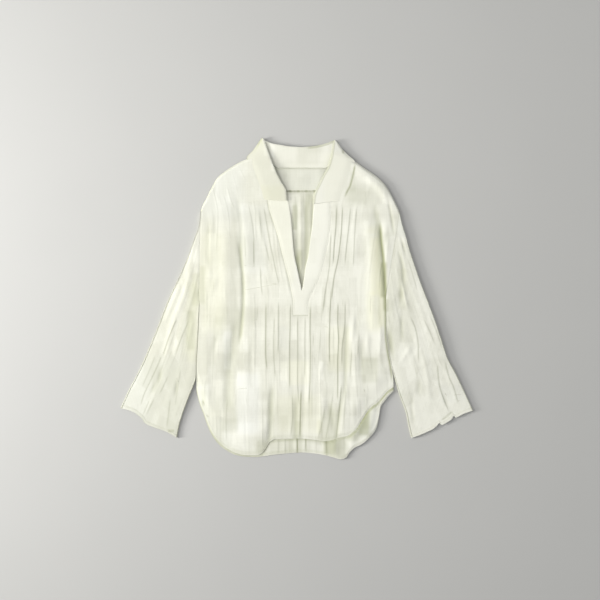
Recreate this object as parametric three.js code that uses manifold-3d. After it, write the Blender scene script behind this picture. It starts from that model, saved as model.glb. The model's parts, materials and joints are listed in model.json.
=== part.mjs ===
// A woman's pull-over tunic of thin pleated voile, laid flat on its back: back panel and yoke, one front with
// a deep V, a smooth facing round the V that ends in a squared tab, a spread collar and two long drop-shoulder
// sleeves. Millimetres. +X runs from sleeve to sleeve, +Y towards the collar, +Z up off the surface it lies
// on. The origin is the middle of the footprint, on that surface.

import * as THREE from "three";
import Module from "manifold-3d";
import { mergeVertices } from "three/addons/utils/BufferGeometryUtils.js";

// ---------------------------------------------------------------- driving dimensions

const WALL = 1.5; // modelled thickness of one layer of cloth
const FACING_WALL = 1.3; // the facing and the collar are one layer each
const SEAM = 0.3; // clearance between pieces that meet
const SLEEVE_CLEAR = 1; // clearance between a sleeve and the body beside it
const FRONT_BASE = WALL + SEAM; // underside of the front where it lies on the back
const EDGE_TOP = FRONT_BASE + WALL; // top of both layers where they lie flat

const BODY_LOFT = 1.3; // air between front and back in the middle of the body
const V_LIFT = 3.6; // how far the edges of the V stand off the back
const V_LIFT_CENTRE = { x: 12, y: 124 };
const V_LIFT_REACH = { x: 74, y: 88 };

const UNDERARM_Y = 0; // the armhole seam ends here, and the side seam begins
const SHOULDER_TIP_Y = 200; // the armhole seam's upper end
const V_POINT = { x: 11, y: 21 }; // bottom of the V opening
const YOKE_SEAM_Y = 245.5;
const YOKE_END = 3; // the yoke's ends are cut square this far in from its seam's ends
const HEM_MID_Y = -311.5; // the front's hem at the centre

const PLEAT_STEP = 2.6; // width of the sharp side of a pleat
const PLEAT_RUN = 9; // width of its sloping side
const FOLD_TAPER = 45; // a soft fold fades in and out over this length
const LOFT_REACH = { side: 16, top: 40, hem: 60 }; // the loft dies out towards each edge over these lengths
const TAB_RAISE = { from: 1, length: 12, height: 1.9 }; // the tab clears the pleats that run out below it

// How many rows and columns of cloth each piece is built from.
const FRONT_ROWS = { slit: 9, below: 12 };
const FRONT_COLUMNS = 16; // even columns of a half front, besides those on its pleats
const FACING_ROWS = { slit: 10, tab: 4 };
const FACING_COLUMNS = 4;
const BACK_ROWS = 11;
const BACK_COLUMNS = 24;
const ABOVE_HEM = 0.93; // the share of the way down where the back's rows grow closer, to
const HEM_ROWS = [0.955, 0.98, 1]; // these, where its gathers run out at the hem
const YOKE_ROWS = 2;
const YOKE_COLUMNS = 40;
const SLEEVE_ROWS = 18;
const SLEEVE_COLUMNS = { under: 6, top: 22 };
const CLOSEST_COLUMNS = 1.3; // columns nearer to each other than this are one

const VOILE = { color: 0xeef0e4, roughness: 0.85, metalness: 0 };
const PRESSED_VOILE = { color: 0xf3f3e6, roughness: 0.8, metalness: 0 };
const COLLAR_VOILE = { color: 0xf1f1e2, roughness: 0.8, metalness: 0 };
const SLEEVE_VOILE = { color: 0xf2f2e0, roughness: 0.85, metalness: 0 };

// ---------------------------------------------------------------- outline, a row for each section

// Body edges: the armhole seams down to the underarm, then the side seams down to the slits.
const SIDES = [
  { y: 200, left: -216, right: 229.5 },
  { y: 157, left: -217, right: 224 },
  { y: 112, left: -218, right: 216.5 },
  { y: 45, left: -219, right: 205.5 },
  { y: 0, left: -219.5, right: 200 },
  { y: -72, left: -222, right: 200 },
  { y: -108, left: -224, right: 203.5 },
  { y: -146, left: -226, right: 210.5 },
  { y: -175, left: -227, right: 216 },
  { y: -205, left: -226, right: 217 },
];

// The inner edges of the two half fronts: neck seam, then the sides of the V.
const NECKLINE = [
  { y: 322, left: -79, right: 88 },
  { y: 301, left: -73, right: 83 },
  { y: 279, left: -61, right: 71 },
  { y: 256, left: -40.5, right: 55 },
  { y: 241, left: -23.5, right: 41.5 },
  { y: 202, left: -16, right: 36 },
  { y: 169, left: -12, right: 34 },
  { y: 135, left: -9.5, right: 29 },
  { y: 101, left: -6, right: 25 },
  { y: 72, left: 0, right: 18.5 },
  { y: 49, left: 5, right: 15.5 },
  { y: V_POINT.y, left: V_POINT.x, right: V_POINT.x },
];

// Shoulder lines from the armhole seam to the neck.
const SHOULDER_LEFT = [
  { x: -216, y: 200 },
  { x: -212, y: 212 },
  { x: -204, y: 227 },
  { x: -196, y: 244 },
  { x: -187, y: 261 },
  { x: -179.5, y: 273.5 },
  { x: -169, y: 283.5 },
  { x: -146.5, y: 299 },
  { x: -121.5, y: 313 },
  { x: -101, y: 319.5 },
  { x: -79, y: 322 },
];
const SHOULDER_RIGHT = [
  { x: 88, y: 322 },
  { x: 110, y: 319 },
  { x: 132, y: 310 },
  { x: 150, y: 297.5 },
  { x: 179, y: 277.5 },
  { x: 194.5, y: 263 },
  { x: 204, y: 250 },
  { x: 214, y: 232 },
  { x: 223.5, y: 213 },
  { x: 229.5, y: 200 },
];
const BACK_NECK = [
  { x: -79, y: 322 },
  { x: -70, y: 313 },
  { x: -56, y: 304 },
  { x: -43, y: 299 },
  { x: 11, y: 298.5 },
  { x: 65, y: 299 },
  { x: 76.5, y: 305 },
  { x: 83, y: 313 },
  { x: 88, y: 322 },
];

// The shirt-tail hems of the front and of the longer back, from slit to slit.
const HEM = [
  { x: -226, front: -202.5, back: -205 },
  { x: -219.5, front: -227, back: -230.5 },
  { x: -210.5, front: -251, back: -254 },
  { x: -202.5, front: -273.5, back: -277.5 },
  { x: -194.5, front: -292.5, back: -297 },
  { x: -184.5, front: -309.5, back: -313.5 },
  { x: -171, front: -324, back: -328.5 },
  { x: -155, front: -335, back: -340 },
  { x: -137, front: -344, back: -348.5 },
  { x: -117, front: -348.5, back: -352 },
  { x: -92, front: -349, back: -353 },
  { x: -79, front: -344.5, back: -352 },
  { x: -70, front: -333, back: -351 },
  { x: -61, front: -319, back: -349.5 },
  { x: -47, front: -312.5, back: -347.5 },
  { x: 11, front: HEM_MID_Y, back: -343 },
  { x: 38, front: -314, back: -345 },
  { x: 63, front: -317, back: -349 },
  { x: 81, front: -314.5, back: -353.5 },
  { x: 99, front: -308, back: -358 },
  { x: 110, front: -306.5, back: -354.5 },
  { x: 119, front: -303.5, back: -342 },
  { x: 130.5, front: -295, back: -331.5 },
  { x: 146, front: -270, back: -324 },
  { x: 164, front: -244, back: -308 },
  { x: 178, front: -233.5, back: -289 },
  { x: 183.5, front: -228.5, back: -268 },
  { x: 188, front: -223.5, back: -241 },
  { x: 198, front: -211.5, back: -226 },
  { x: 207, front: -202.5, back: -214.5 },
  { x: 217, front: -196, back: -205 },
];

// Outer edges of the facing, down to the squared tab.
const FACING = [
  { y: 241, left: -68.5, right: 76 },
  { y: 211, left: -64.5, right: 76.5 },
  { y: 169, left: -52, right: 74 },
  { y: 137, left: -42, right: 70.5 },
  { y: 110, left: -35.5, right: 65 },
  { y: 74, left: -26, right: 56.5 },
  { y: 38, left: -17, right: 44 },
  { y: 11, left: -11.5, right: 31 },
  { y: -11, left: -9, right: 24.5 },
  { y: -35.5, left: -9, right: 24.5 },
];

// ---------------------------------------------------------------- folds and pleats, a row for each

// Soft folds of the front: the line of each ridge through three stations, its height and its half width.
const FRONT_FOLDS = [
  { y0: 247, x0: -169, y1: 90, x1: -160, y2: -180, x2: -178, height: 4.2, reach: 16 },
  { y0: 200, x0: -112, y1: 22, x1: -108, y2: -215, x2: -121, height: 3.2, reach: 13 },
  { y0: -160, x0: -112, y1: -260, x1: -108, y2: -352, x2: -121, height: 4.6, reach: 27 },
  { y0: 205, x0: 155, y1: 90, x1: 169, y2: -80, x2: 174, height: 5, reach: 12 },
  { y0: 196, x0: 199, y1: 124, x1: 203, y2: 40, x2: 196, height: 4, reach: 7 },
  { y0: -190, x0: 62, y1: -260, x1: 55, y2: -330, x2: 46, height: 3.4, reach: 8 },
  { y0: -170, x0: 104, y1: -250, x1: 106, y2: -330, x2: 100, height: 3.6, reach: 9 },
  { y0: -40, x0: 128, y1: -180, x1: 134, y2: -300, x2: 120, height: 3.6, reach: 13 },
  { y0: -40, x0: 180, y1: -146, x1: 184, y2: -226, x2: 168, height: 3.4, reach: 10 },
  { y0: -20, x0: -200, y1: -157, x1: -205, y2: -270, x2: -186, height: 3.4, reach: 12 },
  { y0: 214, x0: -188, y1: 112, x1: -196, y2: -10, x2: -199, height: 2.8, reach: 9 },
];

// Pressed pleats of the front. across is 0 at the side seam and 1 at the middle, start and end are Y.
const LEFT_PLEATS = [
  { across: 0.475, start: 150, end: -120, depth: 1.2 },
  { across: 0.566, start: 190, end: 70, depth: 1.3 },
  { across: 0.615, start: 95, end: -230, depth: 1.3 },
  { across: 0.66, start: 205, end: -215, depth: 1.7 },
  { across: 0.715, start: 215, end: 40, depth: 1.4 },
  { across: 0.77, start: 180, end: -170, depth: 1.7 },
  { across: 0.825, start: -10, end: -305, depth: 1.3 },
  { across: 0.881, start: -10, end: -305, depth: 1.8 },
  { across: 0.948, start: -38, end: -305, depth: 1.7 },
];
const RIGHT_PLEATS = [
  { across: 0.35, start: 205, end: -160, depth: 1.1 },
  { across: 0.425, start: 215, end: 40, depth: 1.3 },
  { across: 0.5, start: 215, end: -190, depth: 1.7 },
  { across: 0.57, start: 215, end: -300, depth: 1.8 },
  { across: 0.635, start: 215, end: -60, depth: 1.6 },
  { across: 0.69, start: 215, end: -300, depth: 1.8 },
  { across: 0.76, start: 60, end: -300, depth: 1.3 },
  { across: 0.835, start: -20, end: -250, depth: 1.2 },
  { across: 0.915, start: -12, end: -305, depth: 1.8 },
  { across: 0.966, start: -38, end: -305, depth: 1.6 },
];
// Gathers of the back: below the yoke seam inside the V, and where it shows past the front's hem.
const BACK_GATHERS = [
  { x: -17, start: 240, end: 30, height: 1, reach: 3.5 },
  { x: -4, start: 240, end: 20, height: 1, reach: 3 },
  { x: 8, start: 240, end: 20, height: 1, reach: 3 },
  { x: 18, start: 240, end: 30, height: 1, reach: 3 },
  { x: 31, start: 240, end: 60, height: 1, reach: 3.5 },
  { x: -38, start: -322, end: -420, height: 2.2, reach: 5 },
  { x: -12, start: -322, end: -420, height: 2.6, reach: 5 },
  { x: 8, start: -322, end: -420, height: 2.4, reach: 4 },
  { x: 28, start: -322, end: -420, height: 2.2, reach: 5 },
  { x: 52, start: -328, end: -420, height: 2.4, reach: 5 },
  { x: 84, start: -328, end: -420, height: 3, reach: 8 },
];
const GATHER_TAPER = 18;

// Sleeve edges from shoulder to cuff, and the cuff from its outer to its inner corner.
const SLEEVES = {
  left: {
    outer: [[-216, 200], [-221, 163], [-227.5, 146], [-268, 45], [-287, 9], [-304, -34], [-319.5, -74],
      [-333, -119], [-346.5, -146], [-363.5, -184.5], [-380, -207], [-396, -243]],
    inner: [[-219.5, 0], [-222, -72], [-224, -108], [-226, -146], [-227.5, -175], [-235, -193],
      [-246, -217.5], [-259.5, -253], [-267, -282], [-271, -307.5]],
    cuff: [[-396, -243], [-366, -251.5], [-347, -266.5], [-336, -276], [-319.5, -285.5], [-292.5, -295],
      [-271, -307.5]],
  },
  right: {
    outer: [[229.5, 200], [235, 172.5], [243, 145.5], [251.5, 112.5], [274.5, 45], [293.5, -4.5],
      [309.5, -47], [323.5, -89], [337, -130], [356, -165.5], [375.5, -206.5], [395, -246]],
    inner: [[200, 0], [200, -72], [203.5, -108], [210.5, -146], [216, -164], [222.5, -187],
      [233, -220.5], [246, -253], [252, -285], [259, -307.5]],
    cuff: [[395, -246], [378, -253], [353, -262.5], [323.5, -277.5], [307, -287], [279.5, -300],
      [259, -307.5]],
  },
};
// Long folds of the sleeves. across runs from the outer to the inner edge, down from the armhole to the cuff.
const SLEEVE_FOLDS = {
  left: [
    { across0: 0.22, across1: 0.3, start: 0.02, end: 0.62, height: 3.4, reach: 9 },
    { across0: 0.52, across1: 0.42, start: 0.05, end: 0.98, height: 4, reach: 10 },
    { across0: 0.72, across1: 0.66, start: 0.25, end: 1.1, height: 3.6, reach: 8 },
    { across0: 0.9, across1: 0.86, start: 0.3, end: 0.95, height: 2.6, reach: 7 },
    { across0: 0.14, across1: 0.17, start: 0.5, end: 1.1, height: 3.2, reach: 8 },
  ],
  right: [
    { across0: 0.2, across1: 0.16, start: 0.02, end: 0.7, height: 3.6, reach: 8 },
    { across0: 0.45, across1: 0.36, start: 0.02, end: 1.1, height: 4.2, reach: 9 },
    { across0: 0.66, across1: 0.6, start: 0.06, end: 0.9, height: 3.8, reach: 8 },
    { across0: 0.88, across1: 0.84, start: 0.15, end: 1.1, height: 3, reach: 7 },
    { across0: 0.12, across1: 0.14, start: 0.6, end: 1.1, height: 3.4, reach: 7 },
  ],
};
const SLEEVE_LOFT = 2.6;
const SLEEVE_EDGE_SHARE = 0.02; // where a sleeve's layers turn over, as a share of its width
const SLEEVE_TAPER = 0.12; // its folds and loft grow from the armhole over this share of its length
const SLEEVE_SHOULDERS = { loft: 0.14, folds: 0.07 }; // and from its edges over these shares of its width

// Collar sections: the folded edge, the free edge, and the hidden end of the turn, each [x, y, z] of the
// cloth's middle. The two leaves run from the V up to the collar's points, the back from point to point.
const LEAF_LEFT = [
  { fold: [-22, 223, 12], free: [-81, 226, 7], turn: [-36, 227, 8.2] },
  { fold: [-23.5, 245, 12.5], free: [-86.5, 245, 6.6], turn: [-40.5, 254, 7.4] },
  { fold: [-34, 264.5, 13.5], free: [-93.5, 266.5, 6.2], turn: [-54, 270, 6.4] },
  { fold: [-44, 283, 14], free: [-100, 286, 6], turn: [-65, 286, 6] },
  { fold: [-52, 301.5, 13.5], free: [-107, 304, 5.6], turn: [-70, 301.5, 5.6] },
  { fold: [-59, 320, 12.5], free: [-113, 319.5, 4.6], turn: [-72, 315, 5.2] },
  { fold: [-65.5, 338.5, 11], free: [-99, 336.5, 3], turn: [-76.5, 335, 5] },
  { fold: [-71, 354.5, 9], free: [-87.5, 353, 3], turn: [-77.5, 352, 4.4] },
  { fold: [-75.5, 363.5, 7], free: [-80.5, 363, 3], turn: [-77.4, 361, 3.6] },
];
const LEAF_RIGHT = [
  { fold: [35, 216, 11.5], free: [106, 224, 8.2], turn: [49.5, 220.5, 8.2] },
  { fold: [38, 236, 12], free: [109, 238.5, 9.4], turn: [56, 247.5, 7.4] },
  { fold: [48, 259, 13], free: [119, 257.5, 9.6], turn: [67.5, 265.5, 6.4] },
  { fold: [57.5, 278.5, 13.5], free: [123.5, 277, 9], turn: [76.5, 282.5, 6] },
  { fold: [69, 299, 13], free: [127, 296, 7.6], turn: [84.5, 299, 5.6] },
  { fold: [76, 322, 12], free: [129.5, 311, 5.4], turn: [88, 315, 5.2] },
  { fold: [79, 337.5, 10.5], free: [113, 327, 3], turn: [88, 331, 5] },
  { fold: [81, 350, 8.6], free: [97.5, 344, 3], turn: [87, 346, 4.4] },
  { fold: [83, 359, 7], free: [89, 357, 3], turn: [85.4, 356.4, 3.6] },
];
const COLLAR_BACK = [
  { fold: [-75.5, 360.5, 5], free: [-61, 307, 2.8], turn: [-102.5, 323.5, 0.65] },
  { fold: [-67.5, 356.5, 6], free: [-54, 304, 2.8], turn: [-79, 326.5, 0.65] },
  { fold: [-53, 351.5, 7], free: [-42, 297, 2.7], turn: [-61, 311, 0.65] },
  { fold: [-38, 349, 7.6], free: [-31, 296, 2.7], turn: [-40, 302.5, 0.65] },
  { fold: [-16, 345.5, 8], free: [-13.5, 295.5, 2.7], turn: [-16, 301.5, 0.65] },
  { fold: [11, 344, 8], free: [11, 295.5, 2.7], turn: [11, 301.5, 0.65] },
  { fold: [38, 346, 8], free: [38, 295.5, 2.7], turn: [38, 301.5, 0.65] },
  { fold: [56, 349.5, 7.6], free: [53, 296, 2.7], turn: [58, 302, 0.65] },
  { fold: [70, 353.5, 7], free: [64, 297.5, 2.7], turn: [74, 313, 0.65] },
  { fold: [77.5, 357, 6], free: [74, 304, 2.8], turn: [90, 326.5, 0.65] },
  { fold: [83, 358.5, 5], free: [80, 307, 2.8], turn: [109, 325.5, 0.65] },
];
const COLLAR_ROLL = 1.7; // radius of the turn along the folded edge
const COLLAR_STEPS = { turn: 3, roll: 4, fall: 5 };
const COLLAR_CURL = 1.4; // above 1, a leaf stays high near its folded edge and curves down to its free edge

// ---------------------------------------------------------------- small mathematics

const lerp = (a, b, t) => a + (b - a) * t;
const clamp01 = (t) => Math.min(1, Math.max(0, t));
const smoothstep = (t) => clamp01(t) ** 2 * (3 - 2 * clamp01(t));
const bump = (distance, reach) => Math.exp(-((distance / reach) ** 2));
const spread = (count, from = 0, to = 1) =>
  Array.from({ length: count + 1 }, (_, i) => lerp(from, to, i / count));

/** A smooth function through a table's rows that never overshoots them, held level past its ends. */
function through(rows, key, value) {
  const sorted = [...rows].sort((p, q) => p[key] - q[key]);
  const at = sorted.map((row) => row[key]);
  const out = sorted.map((row) => row[value]);
  const slope = at.slice(1).map((k, i) => (out[i + 1] - out[i]) / (k - at[i]));
  const tangent = at.map((_, i) => {
    if (i === 0) return slope[0];
    if (i === at.length - 1) return slope[i - 1];
    const product = slope[i - 1] * slope[i];
    return product <= 0 ? 0 : (2 * product) / (slope[i - 1] + slope[i]);
  });
  return (k) => {
    if (k <= at[0]) return out[0];
    if (k >= at[at.length - 1]) return out[at.length - 1];
    const i = at.findIndex((high) => high > k) - 1;
    const span = at[i + 1] - at[i];
    const t = (k - at[i]) / span;
    const rise = out[i + 1] - out[i];
    const hermite = t * t * (3 - 2 * t) * rise;
    return out[i] + hermite + span * t * (1 - t) * ((1 - t) * tangent[i] - t * tangent[i + 1]);
  };
}

/** The surface of [x, y] points that fills four edge curves: top and bottom run across, start and end down. */
function filled(top, bottom, start, end) {
  const corner = [top(0), top(1), bottom(0), bottom(1)];
  return (across, down) => [0, 1].map((axis) => {
    const ruledDown = lerp(top(across)[axis], bottom(across)[axis], down);
    const ruledAcross = lerp(start(down)[axis], end(down)[axis], across);
    const corners = lerp(
      lerp(corner[0][axis], corner[1][axis], across),
      lerp(corner[2][axis], corner[3][axis], across),
      down,
    );
    return ruledDown + ruledAcross - corners;
  });
}

/** A smooth curve through [x, y] points, evenly stepped along its length. */
function traced(points) {
  const curve = new THREE.SplineCurve(points.map(([x, y]) => new THREE.Vector2(x, y)));
  return (t) => curve.getPointAt(clamp01(t)).toArray();
}

/** The height that a table's soft folds add at a point. */
function foldHeight(folds, x, y) {
  return folds.reduce((sum, fold) => {
    const line = fold.line(y);
    const length = Math.min(FOLD_TAPER, (fold.y0 - fold.y2) / 2);
    const taper = smoothstep((fold.y0 - y) / length) * smoothstep((y - fold.y2) / length);
    return sum + fold.height * taper * bump(x - line, fold.reach);
  }, 0);
}

/** Each fold row with the line of its ridge as a function of Y. */
const withLines = (folds) => folds.map((fold) => ({
  ...fold,
  line: through(
    [0, 1, 2].map((i) => ({ y: fold[`y${i}`], x: fold[`x${i}`] })), "y", "x"),
}));

// ---------------------------------------------------------------- solids from walls

/** A closed solid from two matching layers of points and the quads that join them, facing out of `outer`. */
function wallSolid(inner, outer, quads) {
  const positions = [...outer, ...inner].flat();
  const shift = outer.length;
  const index = [];
  const open = new Map();
  const edge = (a, b) => {
    if (!open.delete(`${b},${a}`)) open.set(`${a},${b}`, [a, b]);
  };
  for (const [a, b, c, d] of quads) {
    index.push(a, b, c, a, c, d);
    index.push(shift + a, shift + c, shift + b, shift + a, shift + d, shift + c);
    [[a, b], [b, c], [c, d], [d, a]].forEach(([p, q]) => edge(p, q));
  }
  for (const [a, b] of open.values()) {
    index.push(shift + a, shift + b, b, shift + a, b, a);
  }
  const geometry = new THREE.BufferGeometry();
  geometry.setAttribute("position", new THREE.Float32BufferAttribute(positions, 3));
  geometry.setIndex(index);
  geometry.computeVertexNormals();
  return geometry;
}

/** A flat-lying wall over a grid of [x, y] points, its underside at `under(x, y)`. */
function layer(rows, under, thickness) {
  const inner = rows.flat().map(([x, y]) => [x, y, under(x, y)]);
  const outer = inner.map(([x, y, z]) => [x, y, z + thickness]);
  return wallSolid(inner, outer, gridQuads(rows.length, rows[0].length));
}

/** The quads of a grid of points, each row running from left to right and the rows downwards. */
function gridQuads(rowCount, columnCount) {
  const quads = [];
  for (let r = 0; r + 1 < rowCount; r++) {
    for (let c = 0; c + 1 < columnCount; c++) {
      const at = r * columnCount + c;
      quads.push([at, at + columnCount, at + columnCount + 1, at + 1]);
    }
  }
  return quads;
}

// ---------------------------------------------------------------- the body's shape

const sideLeft = through(SIDES, "y", "left");
const sideRight = through(SIDES, "y", "right");
const neckLeft = through(NECKLINE, "y", "left");
const neckRight = through(NECKLINE, "y", "right");
const shoulderLeft = through(SHOULDER_LEFT, "x", "y");
const shoulderRight = through(SHOULDER_RIGHT, "x", "y");
const shoulderLeftAt = through(SHOULDER_LEFT, "y", "x");
const shoulderRightAt = through(SHOULDER_RIGHT, "y", "x");
const hemFront = through(HEM, "x", "front");
const hemBack = through(HEM, "x", "back");
const frontFolds = withLines(FRONT_FOLDS);

const NECK_TOP_Y = NECKLINE[0].y;
const SLIT_LEFT = HEM[0];
const SLIT_RIGHT = HEM[HEM.length - 1];
const V_DOWN = (NECK_TOP_Y - V_POINT.y) / (NECK_TOP_Y - HEM_MID_Y); // the V's share of the way down

/** Half of the front as a function of (across, down): across from the side seam to the middle. */
function halfFront(side, neck, shoulder, slit) {
  const tip = { x: side(SHOULDER_TIP_Y), y: SHOULDER_TIP_Y };
  const neckPoint = { x: neck(NECK_TOP_Y), y: NECK_TOP_Y };
  const top = (t) => {
    const x = lerp(tip.x, neckPoint.x, t);
    return [x, shoulder(x)];
  };
  const bottom = (t) => {
    const x = lerp(slit.x, V_POINT.x, t);
    return [x, hemFront(x)];
  };
  const start = (t) => {
    const y = lerp(tip.y, slit.front, t);
    return [side(y), y];
  };
  const end = (t) => {
    const y = lerp(NECK_TOP_Y, HEM_MID_Y, t);
    return [neck(y), y];
  };
  return filled(top, bottom, start, end);
}

const leftFront = halfFront(sideLeft, neckLeft, shoulderLeft, SLIT_LEFT);
const rightFront = halfFront(sideRight, neckRight, shoulderRight, SLIT_RIGHT);

/** How high the pressed pleats of one half stand: a slope up to each pleat's line, then a sharp drop. */
function pleatHeight(pleats, half, across, down) {
  const [x, y] = half(across, down);
  return pleats.reduce((sum, pleat) => {
    const [pleatX] = half(pleat.across, down);
    const past = x - pleatX;
    const rise = past <= 0 ? 1 + past / PLEAT_RUN : 1 - past / PLEAT_STEP;
    const taper = smoothstep((pleat.start - y) / GATHER_TAPER) * smoothstep((y - pleat.end) / GATHER_TAPER);
    return Math.max(sum, pleat.depth * taper * clamp01(rise));
  }, 0);
}

/** The front's underside without its pressed pleats, which is what the facing and collar lie on. */
function frontUnder(x, y) {
  const middle = (sideLeft(y) + sideRight(y)) / 2;
  const half = (sideRight(y) - sideLeft(y)) / 2;
  const fromSide = half - Math.abs(x - middle);
  const shoulder = x < 0 ? shoulderLeft(x) : shoulderRight(x);
  const inFromSide = smoothstep(fromSide / LOFT_REACH.side);
  const inFromTop = smoothstep((shoulder - y) / LOFT_REACH.top);
  const inFromHem = smoothstep((y - hemFront(x)) / LOFT_REACH.hem);
  const loft = BODY_LOFT * inFromSide * inFromTop * inFromHem;
  const lift = V_LIFT
    * bump(x - V_LIFT_CENTRE.x, V_LIFT_REACH.x) * bump(y - V_LIFT_CENTRE.y, V_LIFT_REACH.y);
  return FRONT_BASE + loft + lift + foldHeight(frontFolds, x, y) * inFromSide;
}

// ---------------------------------------------------------------- pieces

/** Column places of a half front: both sides of every pleat, and even ones between them. */
function frontColumns(pleats, width) {
  const run = PLEAT_RUN / width;
  const step = PLEAT_STEP / width;
  const sharp = pleats.flatMap(({ across }) => [across, across - run, across + step]);
  const even = spread(FRONT_COLUMNS).filter((t) => sharp.every((s) => Math.abs(s - t) > step));
  return [...new Set([...sharp, ...even])]
    .filter((t) => t >= 0 && t <= 1)
    .sort((p, q) => p - q)
    .filter((t, i, all) => i === 0 || (t - all[i - 1]) * width > CLOSEST_COLUMNS);
}

/**
 * A wall from two half grids, left then right, which share their middle column below the V. Each half gives
 * its column count and the underside point of a row and column, the columns running from side to middle.
 */
function slitWall(halves, rowCount, slitRows, thickness) {
  const points = [];
  const quads = [];
  const middle = [];
  for (const { columnCount, under, mirrored } of halves) {
    const indexOf = (r, c) => {
      const isMiddle = c === columnCount - 1;
      if (isMiddle && mirrored && r >= slitRows) return middle[r];
      points.push(under(r, c));
      if (isMiddle && !mirrored) middle[r] = points.length - 1;
      return points.length - 1;
    };
    const grid = Array.from({ length: rowCount }, (_r, r) =>
      Array.from({ length: columnCount }, (_c, c) => indexOf(r, c)));
    for (let r = 0; r + 1 < rowCount; r++) {
      for (let c = 0; c + 1 < columnCount; c++) {
        const quad = [grid[r][c], grid[r + 1][c], grid[r + 1][c + 1], grid[r][c + 1]];
        quads.push(mirrored ? quad.reverse() : quad);
      }
    }
  }
  return wallSolid(points, points.map(([x, y, z]) => [x, y, z + thickness]), quads);
}

/** The front in one piece, slit down the V. */
function frontPanel() {
  const downs = [...spread(FRONT_ROWS.slit, 0, V_DOWN), ...spread(FRONT_ROWS.below, V_DOWN, 1).slice(1)];
  const halfOf = (shape, pleats, width, mirrored) => {
    const columns = frontColumns(pleats, width);
    const under = (r, c) => {
      const [x, y] = shape(columns[c], downs[r]);
      const isMiddle = c === columns.length - 1;
      return [x, y, frontUnder(x, y) + (isMiddle ? 0 : pleatHeight(pleats, shape, columns[c], downs[r]))];
    };
    return { columnCount: columns.length, under, mirrored };
  };
  const halves = [
    halfOf(leftFront, LEFT_PLEATS, V_POINT.x - SLIT_LEFT.x, false),
    halfOf(rightFront, RIGHT_PLEATS, SLIT_RIGHT.x - V_POINT.x, true),
  ];
  return slitWall(halves, downs.length, FRONT_ROWS.slit, WALL);
}

/** The height of the back's gathers at a point. */
const backUnder = (x, y) => BACK_GATHERS.reduce((sum, gather) => {
  const taper = smoothstep((gather.start - y) / GATHER_TAPER) * smoothstep((y - gather.end) / GATHER_TAPER);
  return sum + gather.height * taper * bump(x - gather.x, gather.reach);
}, 0);

/** The back below its yoke, flat on the surface but for its gathers. */
function backPanel() {
  const leftEdge = (y) => (y > SHOULDER_TIP_Y ? shoulderLeftAt(y) : sideLeft(y));
  const rightEdge = (y) => (y > SHOULDER_TIP_Y ? shoulderRightAt(y) : sideRight(y));
  const top = YOKE_SEAM_Y - SEAM;
  const across = (t, y) => lerp(leftEdge(y), rightEdge(y), t);
  const shape = filled(
    (t) => [across(t, top), top],
    (t) => {
      const x = lerp(SLIT_LEFT.x, SLIT_RIGHT.x, t);
      return [x, hemBack(x)];
    },
    (t) => {
      const y = lerp(top, SLIT_LEFT.back, t);
      return [leftEdge(y), y];
    },
    (t) => {
      const y = lerp(top, SLIT_RIGHT.back, t);
      return [rightEdge(y), y];
    },
  );
  const gathers = BACK_GATHERS.flatMap(({ x, reach }) => [x - reach, x, x + reach]);
  const width = SLIT_RIGHT.x - SLIT_LEFT.x;
  const columns = [...spread(BACK_COLUMNS), ...gathers.map((x) => (x - SLIT_LEFT.x) / width)]
    .sort((p, q) => p - q)
    .filter((t, i, all) => i === 0 || (t - all[i - 1]) * width > CLOSEST_COLUMNS);
  const downs = [...spread(BACK_ROWS, 0, ABOVE_HEM), ...HEM_ROWS];
  return layer(downs.map((down) => columns.map((t) => shape(t, down))), backUnder, WALL);
}

/** The yoke between the shoulder lines, the back neck seam and the yoke seam. */
function backYoke() {
  const topAt = through([...SHOULDER_LEFT, ...BACK_NECK.slice(1), ...SHOULDER_RIGHT.slice(1)], "x", "y");
  const from = shoulderLeftAt(YOKE_SEAM_Y) + YOKE_END;
  const to = shoulderRightAt(YOKE_SEAM_Y) - YOKE_END;
  const columns = spread(YOKE_COLUMNS, from, to);
  const rows = spread(YOKE_ROWS).map((down) => columns.map((x) => [x, lerp(topAt(x), YOKE_SEAM_Y, down)]));
  return layer(rows, () => 0, WALL);
}

/** The smooth facing round the V and its squared tab, made from the front's own surface moved up. */
function placketFacing() {
  const topY = FACING[0].y;
  const tabY = FACING[FACING.length - 1].y;
  const besideSlit = spread(FACING_ROWS.slit, topY, V_POINT.y);
  const ys = [...besideSlit, ...spread(FACING_ROWS.tab, V_POINT.y, tabY).slice(1)];
  const columns = spread(FACING_COLUMNS);
  const halfOf = (outer, inner, mirrored) => ({
    columnCount: columns.length,
    under: (r, c) => {
      const y = ys[r];
      const x = lerp(outer(y), inner(y), columns[c]);
      const overPleats = TAB_RAISE.height * smoothstep((TAB_RAISE.from - y) / TAB_RAISE.length);
      return [x, y, frontUnder(x, y) + WALL + SEAM + overPleats];
    },
    mirrored,
  });
  const halves = [
    halfOf(through(FACING, "y", "left"), neckLeft, false),
    halfOf(through(FACING, "y", "right"), neckRight, true),
  ];
  return slitWall(halves, ys.length, FACING_ROWS.slit, FACING_WALL);
}

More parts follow.
